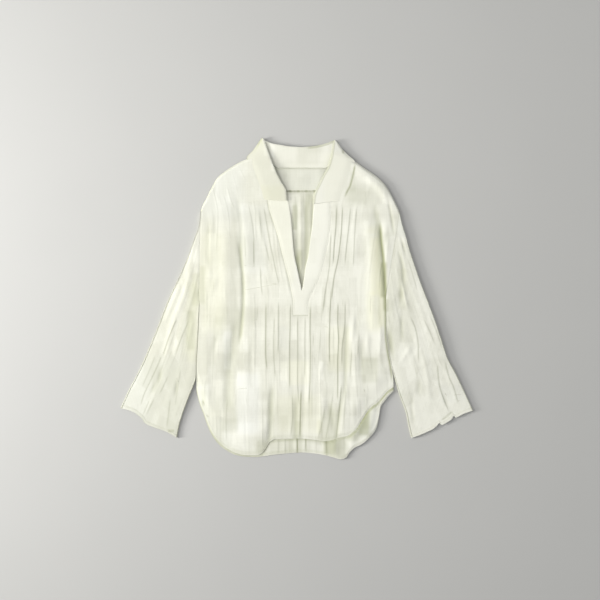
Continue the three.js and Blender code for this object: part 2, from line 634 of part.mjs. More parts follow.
/** One sleeve: a flattened tube, open at the armhole and the cuff. */
function sleeve(name) {
  const { outer, inner, cuff } = SLEEVES[name];
  const away = name === "left" ? -SLEEVE_CLEAR : SLEEVE_CLEAR;
  const side = name === "left" ? sideLeft : sideRight;
  const armhole = (t) => {
    const y = lerp(SHOULDER_TIP_Y, UNDERARM_Y, t);
    return [side(y), y];
  };
  const shape = filled(armhole, traced(cuff), traced(outer), traced(inner));
  const folds = SLEEVE_FOLDS[name];
  const width = (down) => {
    const [a, b] = [shape(0, down), shape(1, down)];
    return Math.hypot(a[0] - b[0], a[1] - b[1]);
  };
  const topAt = (across, down) => {
    const fromEdge = Math.min(across, 1 - across);
    const loft = SLEEVE_LOFT * smoothstep(fromEdge / SLEEVE_SHOULDERS.loft);
    const ridges = folds.reduce((sum, fold) => {
      const along = clamp01((down - fold.start) / (fold.end - fold.start));
      const line = lerp(fold.across0, fold.across1, along);
      const fadeIn = smoothstep((down - fold.start) / SLEEVE_TAPER);
      const fadeOut = smoothstep((fold.end - down) / SLEEVE_TAPER);
      return sum + fold.height * fadeIn * fadeOut * bump((across - line) * width(down), fold.reach);
    }, 0);
    const raised = loft + ridges * smoothstep(fromEdge / SLEEVE_SHOULDERS.folds);
    return EDGE_TOP + raised * smoothstep(down / SLEEVE_TAPER);
  };
  const bottomColumns = spread(SLEEVE_COLUMNS.under, SLEEVE_EDGE_SHARE, 1 - SLEEVE_EDGE_SHARE);
  const topColumns = spread(SLEEVE_COLUMNS.top, 1 - SLEEVE_EDGE_SHARE, SLEEVE_EDGE_SHARE);
  const ring = (down) => {
    const inset = WALL / width(down);
    const fold = (across, insetAcross) => ({ across, insetAcross, z: EDGE_TOP / 2, innerZ: EDGE_TOP / 2 });
    return [
      fold(0, inset),
      ...bottomColumns.map((across) => ({ across, insetAcross: across, z: 0, innerZ: WALL })),
      fold(1, 1 - inset),
      ...topColumns.map((across) => {
        const z = topAt(across, down);
        return { across, insetAcross: across, z, innerZ: z - WALL };
      }),
    ];
  };
  const outerPoints = [];
  const innerPoints = [];
  const downs = spread(SLEEVE_ROWS);
  for (const down of downs) {
    for (const { across, insetAcross, z, innerZ } of ring(down)) {
      const [x, y] = shape(across, down);
      const [insetX, insetY] = shape(insetAcross, down);
      outerPoints.push([x + away, y, z]);
      innerPoints.push([insetX + away, insetY, innerZ]);
    }
  }
  const count = bottomColumns.length + topColumns.length + 2;
  const quads = [];
  for (let r = 0; r + 1 < downs.length; r++) {
    for (let c = 0; c < count; c++) {
      const next = (c + 1) % count;
      const quad = [r * count + c, r * count + next, (r + 1) * count + next, (r + 1) * count + c];
      quads.push(name === "left" ? quad : [...quad].reverse());
    }
  }
  return wallSolid(innerPoints, outerPoints, quads);
}

/** The points of one collar section: from the turn's hidden end, round the folded edge, to the free edge. */
function collarSection({ fold, free, turn }) {
  const away = new THREE.Vector2(fold[0] - free[0], fold[1] - free[1]);
  const roll = Math.min(COLLAR_ROLL, away.length() / 3);
  away.normalize();
  const centre = [fold[0] - away.x * roll, fold[1] - away.y * roll, fold[2] - roll];
  const points = [];
  for (const t of spread(COLLAR_STEPS.turn).slice(0, -1)) {
    points.push([lerp(turn[0], centre[0], t), lerp(turn[1], centre[1], t),
      lerp(turn[2], Math.max(turn[2], centre[2] - roll), smoothstep(t))]);
  }
  for (const angle of spread(COLLAR_STEPS.roll, -Math.PI / 2, Math.PI / 2)) {
    const low = Math.max(turn[2], centre[2] - roll);
    const high = centre[2] + roll;
    const out = roll * Math.cos(angle);
    points.push([centre[0] + away.x * out, centre[1] + away.y * out,
      lerp(low, high, (1 + Math.sin(angle)) / 2)]);
  }
  for (const t of spread(COLLAR_STEPS.fall).slice(1)) {
    points.push([lerp(centre[0], free[0], t), lerp(centre[1], free[1], t),
      lerp(centre[2] + roll, free[2], t ** COLLAR_CURL)]);
  }
  return points;
}

/** A folded band of the collar from its sections, as a wall about the middle of the cloth. */
function foldedBand(sections) {
  const rows = sections.map(collarSection);
  const columnCount = rows[0].length;
  const quads = gridQuads(rows.length, columnCount);
  const middle = new THREE.BufferGeometry();
  middle.setAttribute("position", new THREE.Float32BufferAttribute(rows.flat(2), 3));
  middle.setIndex(quads.flatMap(([a, b, c, d]) => [a, b, c, a, c, d]));
  middle.computeVertexNormals();
  const normal = middle.getAttribute("normal");
  const moved = (distance) => rows.flat().map(([x, y, z], i) => [
    x + normal.getX(i) * distance, y + normal.getY(i) * distance, z + normal.getZ(i) * distance]);
  const half = FACING_WALL / 2;
  return wallSolid(moved(-half), moved(half), quads);
}

// ---------------------------------------------------------------- joining

const wasm = await Module();
wasm.setup();

/** A closed geometry as a solid that can be joined and cut. */
function solidOf(geometry) {
  const bare = geometry.clone();
  bare.deleteAttribute("normal");
  const merged = mergeVertices(bare, 1e-3);
  return new wasm.Manifold(new wasm.Mesh({
    numProp: 3,
    vertProperties: merged.attributes.position.array,
    triVerts: new Uint32Array(merged.index.array),
  }));
}

/** A joined solid back as a geometry. */
function geometryOf(solid) {
  const mesh = solid.getMesh();
  const geometry = new THREE.BufferGeometry();
  geometry.setAttribute("position", new THREE.BufferAttribute(mesh.vertProperties, 3));
  geometry.setIndex(new THREE.BufferAttribute(mesh.triVerts, 1));
  geometry.computeVertexNormals();
  return geometry;
}

/** The collar: two leaves and the back, each folded over, joined where they run into each other. */
function collar() {
  return geometryOf([LEAF_LEFT, COLLAR_BACK, LEAF_RIGHT]
    .map((sections) => solidOf(foldedBand(sections)))
    .reduce((joined, solid) => joined.add(solid)));
}

// ---------------------------------------------------------------- the tunic

const piece = (name, geometry, finish) => {
  const mesh = new THREE.Mesh(geometry, new THREE.MeshStandardMaterial(finish));
  mesh.name = name;
  return mesh;
};

const tunic = new THREE.Group();
tunic.add(
  piece("back_panel", backPanel(), VOILE),
  piece("back_yoke", backYoke(), VOILE),
  piece("front_panel", frontPanel(), VOILE),
  piece("placket_facing", placketFacing(), PRESSED_VOILE),
  piece("collar", collar(), COLLAR_VOILE),
  piece("sleeve_left", sleeve("left"), SLEEVE_VOILE),
  piece("sleeve_right", sleeve("right"), SLEEVE_VOILE),
);

const footprint = new THREE.Box3().setFromObject(tunic);
const middleOfFootprint = footprint.getCenter(new THREE.Vector3());
tunic.position.set(-middleOfFootprint.x, -middleOfFootprint.y, -footprint.min.z);

export default tunic;
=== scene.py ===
"""A pull-over tunic of thin pleated voile, laid flat on its back: its cloth, its needlework and the studio.

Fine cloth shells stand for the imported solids. The tables are in millimetres from the garment's own middle
line, seen from above: +x towards the right sleeve, +y towards the collar, +z up off the floor. Place turns
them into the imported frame's metres.
"""

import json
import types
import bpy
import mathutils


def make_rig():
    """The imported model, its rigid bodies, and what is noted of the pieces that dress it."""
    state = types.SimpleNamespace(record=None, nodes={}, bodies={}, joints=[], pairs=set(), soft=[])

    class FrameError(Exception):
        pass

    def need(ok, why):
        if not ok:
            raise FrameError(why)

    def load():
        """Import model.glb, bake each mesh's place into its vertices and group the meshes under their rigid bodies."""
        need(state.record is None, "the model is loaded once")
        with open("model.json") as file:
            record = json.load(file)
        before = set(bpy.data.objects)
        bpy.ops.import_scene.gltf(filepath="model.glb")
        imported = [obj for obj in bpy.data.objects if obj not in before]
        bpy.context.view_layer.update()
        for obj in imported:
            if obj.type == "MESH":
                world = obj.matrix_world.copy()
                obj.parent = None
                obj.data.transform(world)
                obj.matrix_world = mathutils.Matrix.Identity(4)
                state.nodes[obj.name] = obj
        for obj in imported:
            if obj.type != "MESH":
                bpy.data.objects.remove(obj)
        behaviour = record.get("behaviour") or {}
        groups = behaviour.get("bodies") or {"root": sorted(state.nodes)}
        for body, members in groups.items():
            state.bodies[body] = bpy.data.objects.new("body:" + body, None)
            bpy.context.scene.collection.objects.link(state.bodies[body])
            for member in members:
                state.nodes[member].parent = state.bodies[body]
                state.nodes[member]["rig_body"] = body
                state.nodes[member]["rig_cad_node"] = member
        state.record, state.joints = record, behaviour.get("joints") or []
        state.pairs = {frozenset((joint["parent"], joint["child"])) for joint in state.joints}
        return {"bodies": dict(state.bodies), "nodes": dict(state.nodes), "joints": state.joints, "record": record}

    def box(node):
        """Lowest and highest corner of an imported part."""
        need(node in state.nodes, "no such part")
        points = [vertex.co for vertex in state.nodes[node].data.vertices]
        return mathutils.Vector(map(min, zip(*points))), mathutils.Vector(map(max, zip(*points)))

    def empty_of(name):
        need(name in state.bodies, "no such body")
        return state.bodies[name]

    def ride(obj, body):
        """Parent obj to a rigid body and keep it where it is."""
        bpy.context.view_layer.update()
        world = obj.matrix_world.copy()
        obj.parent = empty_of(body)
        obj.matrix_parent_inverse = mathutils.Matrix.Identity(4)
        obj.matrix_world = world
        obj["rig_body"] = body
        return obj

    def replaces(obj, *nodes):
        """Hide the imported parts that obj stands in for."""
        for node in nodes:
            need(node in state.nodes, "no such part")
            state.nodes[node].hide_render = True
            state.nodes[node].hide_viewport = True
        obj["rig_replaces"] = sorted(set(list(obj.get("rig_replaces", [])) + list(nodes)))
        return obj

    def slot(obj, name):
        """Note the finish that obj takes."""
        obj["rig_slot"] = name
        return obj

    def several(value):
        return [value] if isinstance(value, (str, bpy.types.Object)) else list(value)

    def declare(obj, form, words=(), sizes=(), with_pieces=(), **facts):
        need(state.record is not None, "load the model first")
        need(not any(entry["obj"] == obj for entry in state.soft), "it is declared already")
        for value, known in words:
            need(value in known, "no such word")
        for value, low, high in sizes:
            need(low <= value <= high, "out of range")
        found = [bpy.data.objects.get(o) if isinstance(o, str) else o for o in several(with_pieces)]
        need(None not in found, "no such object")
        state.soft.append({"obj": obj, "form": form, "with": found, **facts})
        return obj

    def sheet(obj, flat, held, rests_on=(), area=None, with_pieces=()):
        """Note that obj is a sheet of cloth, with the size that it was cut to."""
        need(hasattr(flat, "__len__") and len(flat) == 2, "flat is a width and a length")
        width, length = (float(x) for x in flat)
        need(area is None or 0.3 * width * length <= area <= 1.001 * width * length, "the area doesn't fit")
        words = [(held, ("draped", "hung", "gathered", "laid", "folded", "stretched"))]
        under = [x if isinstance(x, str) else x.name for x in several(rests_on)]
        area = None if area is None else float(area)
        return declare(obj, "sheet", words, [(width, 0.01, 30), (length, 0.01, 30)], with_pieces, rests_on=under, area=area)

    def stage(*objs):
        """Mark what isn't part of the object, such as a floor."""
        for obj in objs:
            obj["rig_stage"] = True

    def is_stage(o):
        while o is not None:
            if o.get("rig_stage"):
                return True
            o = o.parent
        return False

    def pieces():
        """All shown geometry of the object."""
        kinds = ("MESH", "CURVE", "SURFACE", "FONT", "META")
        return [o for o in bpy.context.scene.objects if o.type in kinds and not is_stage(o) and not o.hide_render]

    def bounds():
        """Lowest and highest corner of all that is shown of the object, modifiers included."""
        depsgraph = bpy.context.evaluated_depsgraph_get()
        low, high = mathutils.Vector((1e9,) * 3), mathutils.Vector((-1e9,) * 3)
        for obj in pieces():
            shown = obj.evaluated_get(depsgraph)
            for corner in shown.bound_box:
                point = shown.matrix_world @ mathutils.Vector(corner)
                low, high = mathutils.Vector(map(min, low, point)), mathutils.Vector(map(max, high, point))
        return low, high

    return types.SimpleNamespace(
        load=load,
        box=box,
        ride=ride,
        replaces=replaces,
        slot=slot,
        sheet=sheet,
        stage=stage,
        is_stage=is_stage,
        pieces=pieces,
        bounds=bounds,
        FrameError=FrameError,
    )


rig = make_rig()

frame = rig.load()

import json
import logging
import math
from collections.abc import Callable, Sequence
from dataclasses import dataclass
from enum import Enum
from functools import partial

import bpy
import numpy as np
from mathutils import Vector

Array = np.ndarray
Point = tuple[float, float]
Triple = tuple[float, float, float]
Tone = tuple[int, int, int]
LineOf = Callable[[Array], Array]
SurfaceOf = Callable[[Array, Array], tuple[Array, Array]]
Material = bpy.types.Material
Piece = bpy.types.Object
Socket = bpy.types.NodeSocket

LOG = logging.getLogger("tunic")
MM = 0.001
CAD_BOX = [list(corner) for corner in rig.bounds()]

# ---------------------------------------------------------------- the garment's sizes, in millimetres

WALL = 1.5  # one layer of cloth as the solids have it
SEAM = 0.3
EDGE_STEPS = np.array([0.0, 0.2, 0.6, 1.2, 2.0, 3.2])  # the places of a mesh's rows in from a rolled edge
FRONT_BASE = WALL + SEAM
EDGE_TOP = FRONT_BASE + WALL
CLOTH = 0.6  # one layer of voile as it is shown here
FACED = 0.8  # the facing and the collar are a little heavier

BODY_LOFT = 2.6
LOFT_REACH = {"top": 3.5, "hem": 60.0}
V_LIFT = 1.2
V_LIFT_CENTRE = (12.0, 124.0)
V_LIFT_REACH = (74.0, 88.0)
FOLD_SHARE = 0.2  # how much of the solids' folds the limp voile shows
FOLD_FADE = 45.0

UNDERARM_Y = 0.0
SHOULDER_TIP_Y = 200.0
V_POINT = (11.0, 21.0)
NECK_TOP_Y = 322.0
YOKE_SEAM_Y = 245.5
HEM_MID_Y = -311.5

# Where a change of the body's form starts, and where it is full.
SHOULDER_END_Y = (SHOULDER_TIP_Y + 5, SHOULDER_TIP_Y - 15)
BESIDE_SLEEVE_Y = (-190.0, -160.0)
RAISED_X = (80.0, 120.0)
RAISED_Y = (190.0, 220.0)
BEHIND_V_Y = (15.0, 90.0)
BELOW_SEAM_Y = (YOKE_SEAM_Y + 4, YOKE_SEAM_Y - 4)
COLLAR_REST_Y = (212.0, 226.0)
COLLAR_REST_SPAN = (132.0, 120.0)  # to each side of COLLAR_MIDDLE_X
COLLAR_MIDDLE_X = 6.0
NECK_FILL_SPAN = (70.0, 40.0)  # to each side of NECK_MIDDLE_X
NECK_MIDDLE_X = 8.0
CURLED_X = (50.0, 100.0)
PAST_HEM = (8.0, -8.0)  # above the front's hem
SHADED_X = (100.0, 160.0)

# Body edges down to the slits: y, left x, right x.
SIDES = (
    (200, -216, 229.5), (157, -217, 224), (112, -218, 216.5), (45, -219, 205.5), (0, -219.5, 200),
    (-72, -222, 200), (-108, -224, 203.5), (-146, -226, 210.5), (-175, -227, 216), (-205, -226, 217),
)
# Neck seam, then the sides of the V: y, left x, right x.
NECKLINE = (
    (322, -79, 88), (301, -73, 83), (279, -61, 71), (256, -40.5, 55), (241, -23.5, 41.5), (202, -16, 36),
    (169, -12, 34), (135, -9.5, 29), (101, -6, 25), (72, 0, 18.5), (49, 5, 15.5), (21, 11, 11),
)
# Outer edges of the facing, down to its squared tab: y, left x, right x.
FACING = (
    (241, -68.5, 76), (211, -64.5, 76.5), (169, -52, 74), (137, -42, 70.5), (110, -35.5, 65),
    (74, -26, 56.5), (38, -17, 44), (11, -11.5, 31), (-11, -9, 24.5), (-35.5, -9, 24.5),
)
# Shoulder lines from the armhole seam to the neck: x, y.
SHOULDER_LEFT = (
    (-216, 200), (-212, 212), (-204, 227), (-196, 244), (-187, 261), (-179.5, 273.5), (-169, 283.5),
    (-146.5, 299), (-121.5, 313), (-101, 319.5), (-79, 322),
)
SHOULDER_RIGHT = (
    (88, 322), (110, 319), (132, 310), (150, 297.5), (179, 277.5), (194.5, 263), (204, 250), (214, 232),
    (223.5, 213), (229.5, 200),
)
BACK_NECK = (
    (-79, 322), (-70, 313), (-56, 304), (-43, 299), (11, 298.5), (65, 299), (76.5, 305), (83, 313), (88, 322),
)
# Shirt-tail hems from slit to slit: x, front y, back y.
HEM = (
    (-226, -202.5, -205), (-219.5, -227, -230.5), (-210.5, -251, -254), (-202.5, -273.5, -277.5),
    (-194.5, -292.5, -297), (-184.5, -309.5, -313.5), (-171, -324, -328.5), (-155, -335, -340),
    (-137, -344, -348.5), (-117, -348.5, -352), (-92, -349, -353), (-79, -344.5, -352), (-70, -333, -351),
    (-61, -319, -349.5), (-47, -312.5, -347.5), (11, HEM_MID_Y, -343), (38, -314, -345), (63, -317, -349),
    (81, -314.5, -353.5), (99, -308, -358), (110, -306.5, -354.5), (119, -303.5, -342),
    (130.5, -295, -331.5), (146, -270, -324), (164, -244, -308), (178, -233.5, -289), (183.5, -228.5, -268),
    (188, -223.5, -241), (198, -211.5, -226), (207, -202.5, -214.5), (217, -196, -205),
)
SLEEVE_OUTLINES = {
    "left": {
        "outer": ((-216, 200), (-221, 163), (-228.5, 143), (-243, 101), (-265.5, 49.5), (-289, 0),
                  (-310, -54), (-327, -96), (-345.5, -139.5), (-362, -173), (-380, -207), (-396, -243)),
        "inner": ((-219.5, 0), (-222, -72), (-224, -108), (-226, -146), (-227.5, -178), (-235.5, -200),
                  (-246.5, -228), (-258, -260), (-265, -284), (-269.5, -309.5)),
        "cuff": ((-396, -244), (-381, -247.5), (-366, -253), (-355, -261), (-347, -268), (-340, -278),
                 (-319.5, -287), (-292.5, -296.5), (-269.5, -309.5)),
    },
    "right": {
        "outer": ((229.5, 200), (235.5, 172.5), (244, 145.5), (253, 112.5), (276, 45), (295, -4.5),
                  (311, -47), (325, -89), (338.5, -130), (357.5, -165.5), (377, -206.5), (396, -248)),
        "inner": ((200, 0), (200, -72), (203.5, -108), (210.5, -146), (216, -164), (222.5, -187),
                  (233, -220.5), (245, -253), (251, -285), (257.5, -310)),
        "cuff": ((396, -248), (374, -256), (358, -264), (352, -260.5), (345, -270), (326, -280.5),
                 (320, -276.5), (307, -289), (279.5, -302), (257.5, -310)),
    },
}


# ---------------------------------------------------------------- small mathematics


def smoothstep(t: Array) -> Array:
    """The smooth step from 0 to 1 as t goes from 0 to 1."""
    t = np.clip(t, 0.0, 1.0)
    return t * t * (3.0 - 2.0 * t)


def ramp(value: Array, window: Point) -> Array:
    """The smooth step from 0 at a window's first place to 1 at its second."""
    return smoothstep((value - window[0]) / (window[1] - window[0]))


def rounded(t: Array) -> Array:
    """A quarter circle from 0 to 1 as t goes from 0 to 1, steep at its start."""
    t = np.clip(t, 0.0, 1.0)
    return np.sqrt(1 - (1 - t) ** 2)


def bump(distance: Array, reach: float) -> Array:
    """A bell of height 1 that dies out a little past its reach."""
    return np.exp(-((distance / reach) ** 2))


def lerp(a: Array, b: Array, t: Array) -> Array:
    """The value a share t of the way from a to b."""
    return a + (b - a) * t


def screen(a: Array, b: Array) -> Array:
    """Two tints laid over each other, never more than 1."""
    return a + b - a * b


def unit(vectors: Array) -> Array:
    """The vectors at length 1, row by row."""
    return vectors / np.maximum(np.linalg.norm(vectors, axis=-1, keepdims=True), 1e-12)


def linear(red: int, green: int, blue: int) -> tuple[float, float, float, float]:
    """A display colour, from 0 to 255 a channel, as the linear colour that shaders use."""
    levels = (channel / 255 for channel in (red, green, blue))
    return (*(v / 12.92 if v <= 0.04045 else ((v + 0.055) / 1.055) ** 2.4 for v in levels), 1.0)


class Curve:
    """A smooth function through keyed values that never overshoots them, held level past its ends."""

    def __init__(self, rows: Sequence[Point]) -> None:
        """Fits the curve.

        Args:
            rows: The (key, value) pairs, in any order.
        """
        ordered = np.array(sorted(rows), float)
        self.keys, self.values = ordered.T
        slope = np.diff(self.values) / np.diff(self.keys)
        product, total = slope[:-1] * slope[1:], slope[:-1] + slope[1:]
        same_way = product > 0
        inner = np.where(same_way, 2 * product / np.where(same_way, total, 1.0), 0.0)
        self.tangents = np.concatenate([slope[:1], inner, slope[-1:]])

    def __call__(self, key: Array) -> Array:
        """The curve's value at each key.

        Args:
            key: The keys.

        Returns:
            The values.
        """
        key = np.clip(key, self.keys[0], self.keys[-1])
        i = np.clip(np.searchsorted(self.keys, key, side="right") - 1, 0, len(self.keys) - 2)
        span = self.keys[i + 1] - self.keys[i]
        t = (key - self.keys[i]) / span
        rise = self.values[i + 1] - self.values[i]
        bend = (1 - t) * self.tangents[i] - t * self.tangents[i + 1]
        return self.values[i] + t * t * (3 - 2 * t) * rise + span * t * (1 - t) * bend


def column(rows: Sequence[Sequence[float]], value: int) -> Curve:
    """A table's column as a curve of the table's first column."""
    return Curve([(row[0], row[value]) for row in rows])


def flipped(points: Sequence[Point]) -> list[Point]:
    """The points with x and y changed over."""
    return [(y, x) for x, y in points]


def edge_line(start: float, end: float, other: LineOf, runs_down: bool = False) -> LineOf:
    """A panel's edge along which one coordinate runs evenly.

    Args:
        start: That coordinate's first value.
        end: Its last value.
        other: The other coordinate as a function of it.
        runs_down: Whether the even one is y. It is x otherwise.

    Returns:
        The edge's points as a function of shares of the way along it.
    """
    def line(t: Array) -> Array:
        """The points at shares t of the way."""
        even = lerp(start, end, t)
        return np.stack([other(even), even] if runs_down else [even, other(even)], -1)
    return line


class Trace:
    """A smooth line through points, evenly stepped along its length."""

    STEPS = 600

    def __init__(self, points: Sequence[Point]) -> None:
        """Fits the line.

        Args:
            points: The points it runs through, in order.
        """
        p = np.array(points, float)
        padded = np.vstack([p[:1], p, p[-1:]])
        at = np.linspace(0, len(p) - 1, self.STEPS)
        i = np.minimum(at.astype(int), len(p) - 2)
        t = (at - i)[:, None]
        before, a, b, after = (padded[i + k] for k in range(4))
        into, out = (b - before) / 2, (after - a) / 2
        cubic = (2 * a - 2 * b + into + out) * t**3 + (3 * b - 3 * a - 2 * into - out) * t**2
        self.points = cubic + into * t + a
        steps = np.linalg.norm(np.diff(self.points, axis=0), axis=1)
        self.length = float(steps.sum())
        self.share = np.concatenate([[0.0], np.cumsum(steps)]) / self.length

    def __call__(self, t: Array) -> Array:
        """The (x, y) points at shares t of the line's length."""
        t = np.clip(t, 0, 1)
        return np.stack([np.interp(t, self.share, self.points[:, axis]) for axis in (0, 1)], -1)


class Panel:
    """The surface of (x, y) points that fills four edge lines."""

    def __init__(self, top: LineOf, bottom: LineOf, start: LineOf, end: LineOf) -> None:
        """Keeps the edges.

        Args:
            top: The upper edge's points, from the start edge to the end edge.
            bottom: The lower edge's points, the same way.
            start: The start edge's points, from the top down.
            end: The end edge's points, from the top down.
        """
        self.top, self.bottom, self.start, self.end = top, bottom, start, end

    def __call__(self, across: Array, down: Array) -> Array:
        """The panel's points.

        Args:
            across: Shares of the way across it.
            down: Shares of the way down it.

        Returns:
            The points at those shares, with x and y last.
        """
        across, down = np.broadcast_arrays(np.asarray(across, float), np.asarray(down, float))
        u, v = across.ravel()[:, None], down.ravel()[:, None]
        corners = [edge(np.array([t])) for edge in (self.top, self.bottom) for t in (0.0, 1.0)]
        ruled_down = lerp(self.top(u[:, 0]), self.bottom(u[:, 0]), v)
        ruled_across = lerp(self.start(v[:, 0]), self.end(v[:, 0]), u)
        flat = lerp(lerp(corners[0], corners[1], u), lerp(corners[2], corners[3], u), v)
        return (ruled_down + ruled_across - flat).reshape(*across.shape, 2)


class Place:
    """Turns the tables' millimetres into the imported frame's metres."""

    RIGHT_CUFF_X = 396.0
    FACING_TOP_Y = 241.0

    def __init__(self) -> None:
        """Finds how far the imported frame's origin lies from the tables' one."""
        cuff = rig.box("sleeve_right")[1].x / MM
        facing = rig.box("placket_facing")[1].y / MM
        self.shift = np.array([cuff - self.RIGHT_CUFF_X, facing - self.FACING_TOP_Y, 0.0])

    def metres(self, points: Array) -> Array:
        """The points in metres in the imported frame."""
        return (points + self.shift) * MM


PLACE = Place()


# ---------------------------------------------------------------- creases and tones of the cloth


class Form(Enum):
    """How the cloth rises across a crease."""

    SOFT = "evenly on both sides of its line"
    PLEAT = "slowly up to its line, then sharply down past it"


@dataclass(frozen=True)
class Crease:
    """One crease that runs down the cloth.

    Attributes:
        stations: The points that its line runs through, from its upper end down.
        height: How high it stands, or how deep it lies where this is below 0.
        reach: How far it spreads on each side. A pleat drops over a third of that.
        painted_shade: How deep the painted shade along its line is, from 0 to 1: on a soft crease along its line, on a
            pleat along its sharp side, which faces away from the lamps.
        form: How the cloth rises across it.
        fade: The length over which it fades at each end.
    """

    stations: tuple[Point, ...]
    height: float
    reach: float = 7.0
    painted_shade: float = 0.0
    form: Form = Form.SOFT
    fade: float = 14.0

    DROP = 0.32  # a pleat's sharp side as a share of its reach
    # A pleat's dark line is painted shade on its sharp side, which faces away from the lamps.
    LINE = 1.15  # half the width of the dark line under a pleat's edge

    def shape(self, x: Array, y: Array) -> tuple[Array, Array]:
        """The crease at points near it.

        Args:
            x, y: The points.

        Returns:
            The height that it adds at each point, and its painted shade there.
        """
        line = Curve(flipped(self.stations))
        top, bottom = self.stations[0][1], self.stations[-1][1]
        fade = min(self.fade, (top - bottom) / 2)
        taper = smoothstep((top - y) / fade) * smoothstep((y - bottom) / fade)
        lean = (line(y + 2) - line(y - 2)) / 4
        away = (x - line(y)) / np.hypot(1.0, lean)
        if self.form is Form.SOFT:
            profile = bump(away, self.reach)
            return self.height * taper * profile, self.painted_shade * taper * profile
        drop = self.reach * self.DROP
        rise = np.where(away <= 0, 1 + away / self.reach, 1 - away / drop)
        # Painted shade along the pleat's sharp side.
        shade = bump(away - 0.6 * drop, self.LINE)
        return self.height * taper * np.clip(rise, 0, 1), self.painted_shade * taper * shade


def relief(creases: Sequence[Crease], x: Array, y: Array) -> tuple[Array, Array]:
    """What creases add to a piece. Soft ones add up, and of the pleats the highest shows.

    Args:
        creases: The creases.
        x, y: The points.

    Returns:
        The height and the painted shade at each point.
    """
    soft, pleated, painted_shade = np.zeros_like(x), np.zeros_like(x), np.zeros_like(x)
    for crease in creases:
        xs, ys = zip(*crease.stations)
        margin = 3 * crease.reach + 4
        near = (y < max(ys)) & (y > min(ys)) & (x > min(xs) - margin) & (x < max(xs) + margin)
        if not near.any():
            continue
        height, shade = crease.shape(x[near], y[near])
        if crease.form is Form.SOFT:
            soft[near] += height
        else:
            pleated[near] = np.maximum(pleated[near], height)
        painted_shade[near] = screen(painted_shade[near], shade)
    return soft + pleated, painted_shade


@dataclass(frozen=True)
class Crinkle:
    """The fine creases of crushed voile, scattered along a panel's own grain.

    Attributes:
        seed: Where its random choices start.
        count: How many creases there are.
        height: The highest of them.
        painted_shade: The deepest painted shade along them.
    """

    seed: int
    count: int
    height: float = 0.16
    painted_shade: float = 0.1

    def creases(self, panel: Panel) -> list[Crease]:
        """The creases.

        Args:
            panel: The panel that they follow.

        Returns:
            Short soft ridges and small pleats, each along the panel's grain.
        """
        random = np.random.default_rng(self.seed)
        made = []
        for _ in range(self.count):
            across, down = random.uniform(0.03, 0.97), random.uniform(-0.02, 0.93)
            length = random.choice([0.05, 0.09, 0.16, 0.26])
            wander = random.normal(0, 0.006, 3)
            at = panel(across + wander, np.array([down, down + length / 2, down + length]))
            size = random.uniform(0.25, 1.0) ** 1.5
            pleated = random.random() < 0.45
            sign = 1 if pleated or random.random() < 0.5 else -1
            made.append(Crease(
                tuple((float(a), float(b)) for a, b in at),
                sign * size * self.height * (1.3 if pleated else 1.0),
                random.uniform(3.0, 6.5) if pleated else random.uniform(2.2, 5.5),
                random.uniform(0.1, 1.0) * size * self.painted_shade * (1.5 if pleated else 0.7),
                Form.PLEAT if pleated else Form.SOFT,
                random.uniform(8, 22),
            ))
        return made


@dataclass(frozen=True)
class Patch:
    """A soft-edged patch where the cloth's tone or its painted shade differs from the rest.

    Attributes:
        x: Its left and right edges.
        y: Its lower and upper edges.
        fold: How much painted shade it adds, in folds and where edges cast their shadow.
        weave_and_light: How much lighter its tone is, below 0 where it is darker: partly a closer or more open weave,
            partly painted light and painted shade that even out how the lamps light the cloth.
        warm: How much yellower it is, below 0 where it is cooler.
        soft: The width of its soft edge.
    """

    x: Point
    y: Point
    fold: float = 0.0
    weave_and_light: float = 0.0
    warm: float = 0.0
    soft: float = 10.0

    def cover(self, x: Array, y: Array) -> Array:
        """How much of the patch each point has.

        Args:
            x, y: The points.

        Returns:
            A share from 0 to 1 for each.
        """
        def within(value: Array, low: float, high: float) -> Array:
            """The cover along one direction."""
            rise = smoothstep((value - low) / self.soft + 0.5)
            return rise * smoothstep((high - value) / self.soft + 0.5)
        return within(x, *self.x) * within(y, *self.y)


@dataclass(frozen=True)
class ShadowCheck:
    """The woven check of closer and opener cells, between stripes and bands of uneven width.

    Attributes:
        seed: Where its random choices start.
        stripe: The mean width of a stripe.
        band: The mean height of a band.
        contrast: How far the cells differ.
        soft: The width of the soft line between two cells.
        bands: Bands that run straight across: middle y, half height and how much closer their weave is.
    """

    seed: int
    stripe: float = 24.0
    band: float = 46.0
    contrast: float = 0.17
    soft: float = 3.5
    bands: tuple[Triple, ...] = ()

    CELLS = 60  # cells each way, more than any piece needs

    def density(self, across: Array, along: Array, y: Array) -> Array:
        """How close the weave is.

        Args:
            across: The points' places across the cloth's grain.
            along: Their places along the grain.
            y: Their y, for the straight bands.

        Returns:
            The density at each point, about 0.5 on average.
        """
        random = np.random.default_rng(self.seed)

        def cells(place: Array, mean: float) -> Array:
            """Each place's cell number, with soft steps at the cells' edges.

            Args:
                place: The places, across or along the cloth.
                mean: The cells' mean size that way.

            Returns:
                The cells' numbers, whole but near an edge.
            """
            widths = random.uniform(0.55, 1.5, self.CELLS) * mean
            edges = np.cumsum(widths) - self.CELLS / 2 * mean
            return smoothstep((place[..., None] - edges) / self.soft + 0.5).sum(-1)

        column_at, row_at = cells(across, self.stripe), cells(along, self.band)
        size = self.CELLS + 2
        tones = random.normal(0, 1, (size, size)) * 0.6 + random.normal(0, 1, (size, 1)) * 0.5
        tones = np.clip(tones, -1.6, 1.6)
        i, j = column_at.astype(int), row_at.astype(int)
        s, t = column_at - i, row_at - j
        tone = lerp(lerp(tones[i, j], tones[i + 1, j], s), lerp(tones[i, j + 1], tones[i + 1, j + 1], s), t)
        straight = sum(change * bump(y - middle, half) for middle, half, change in self.bands)
        return 0.5 + self.contrast * tone + straight


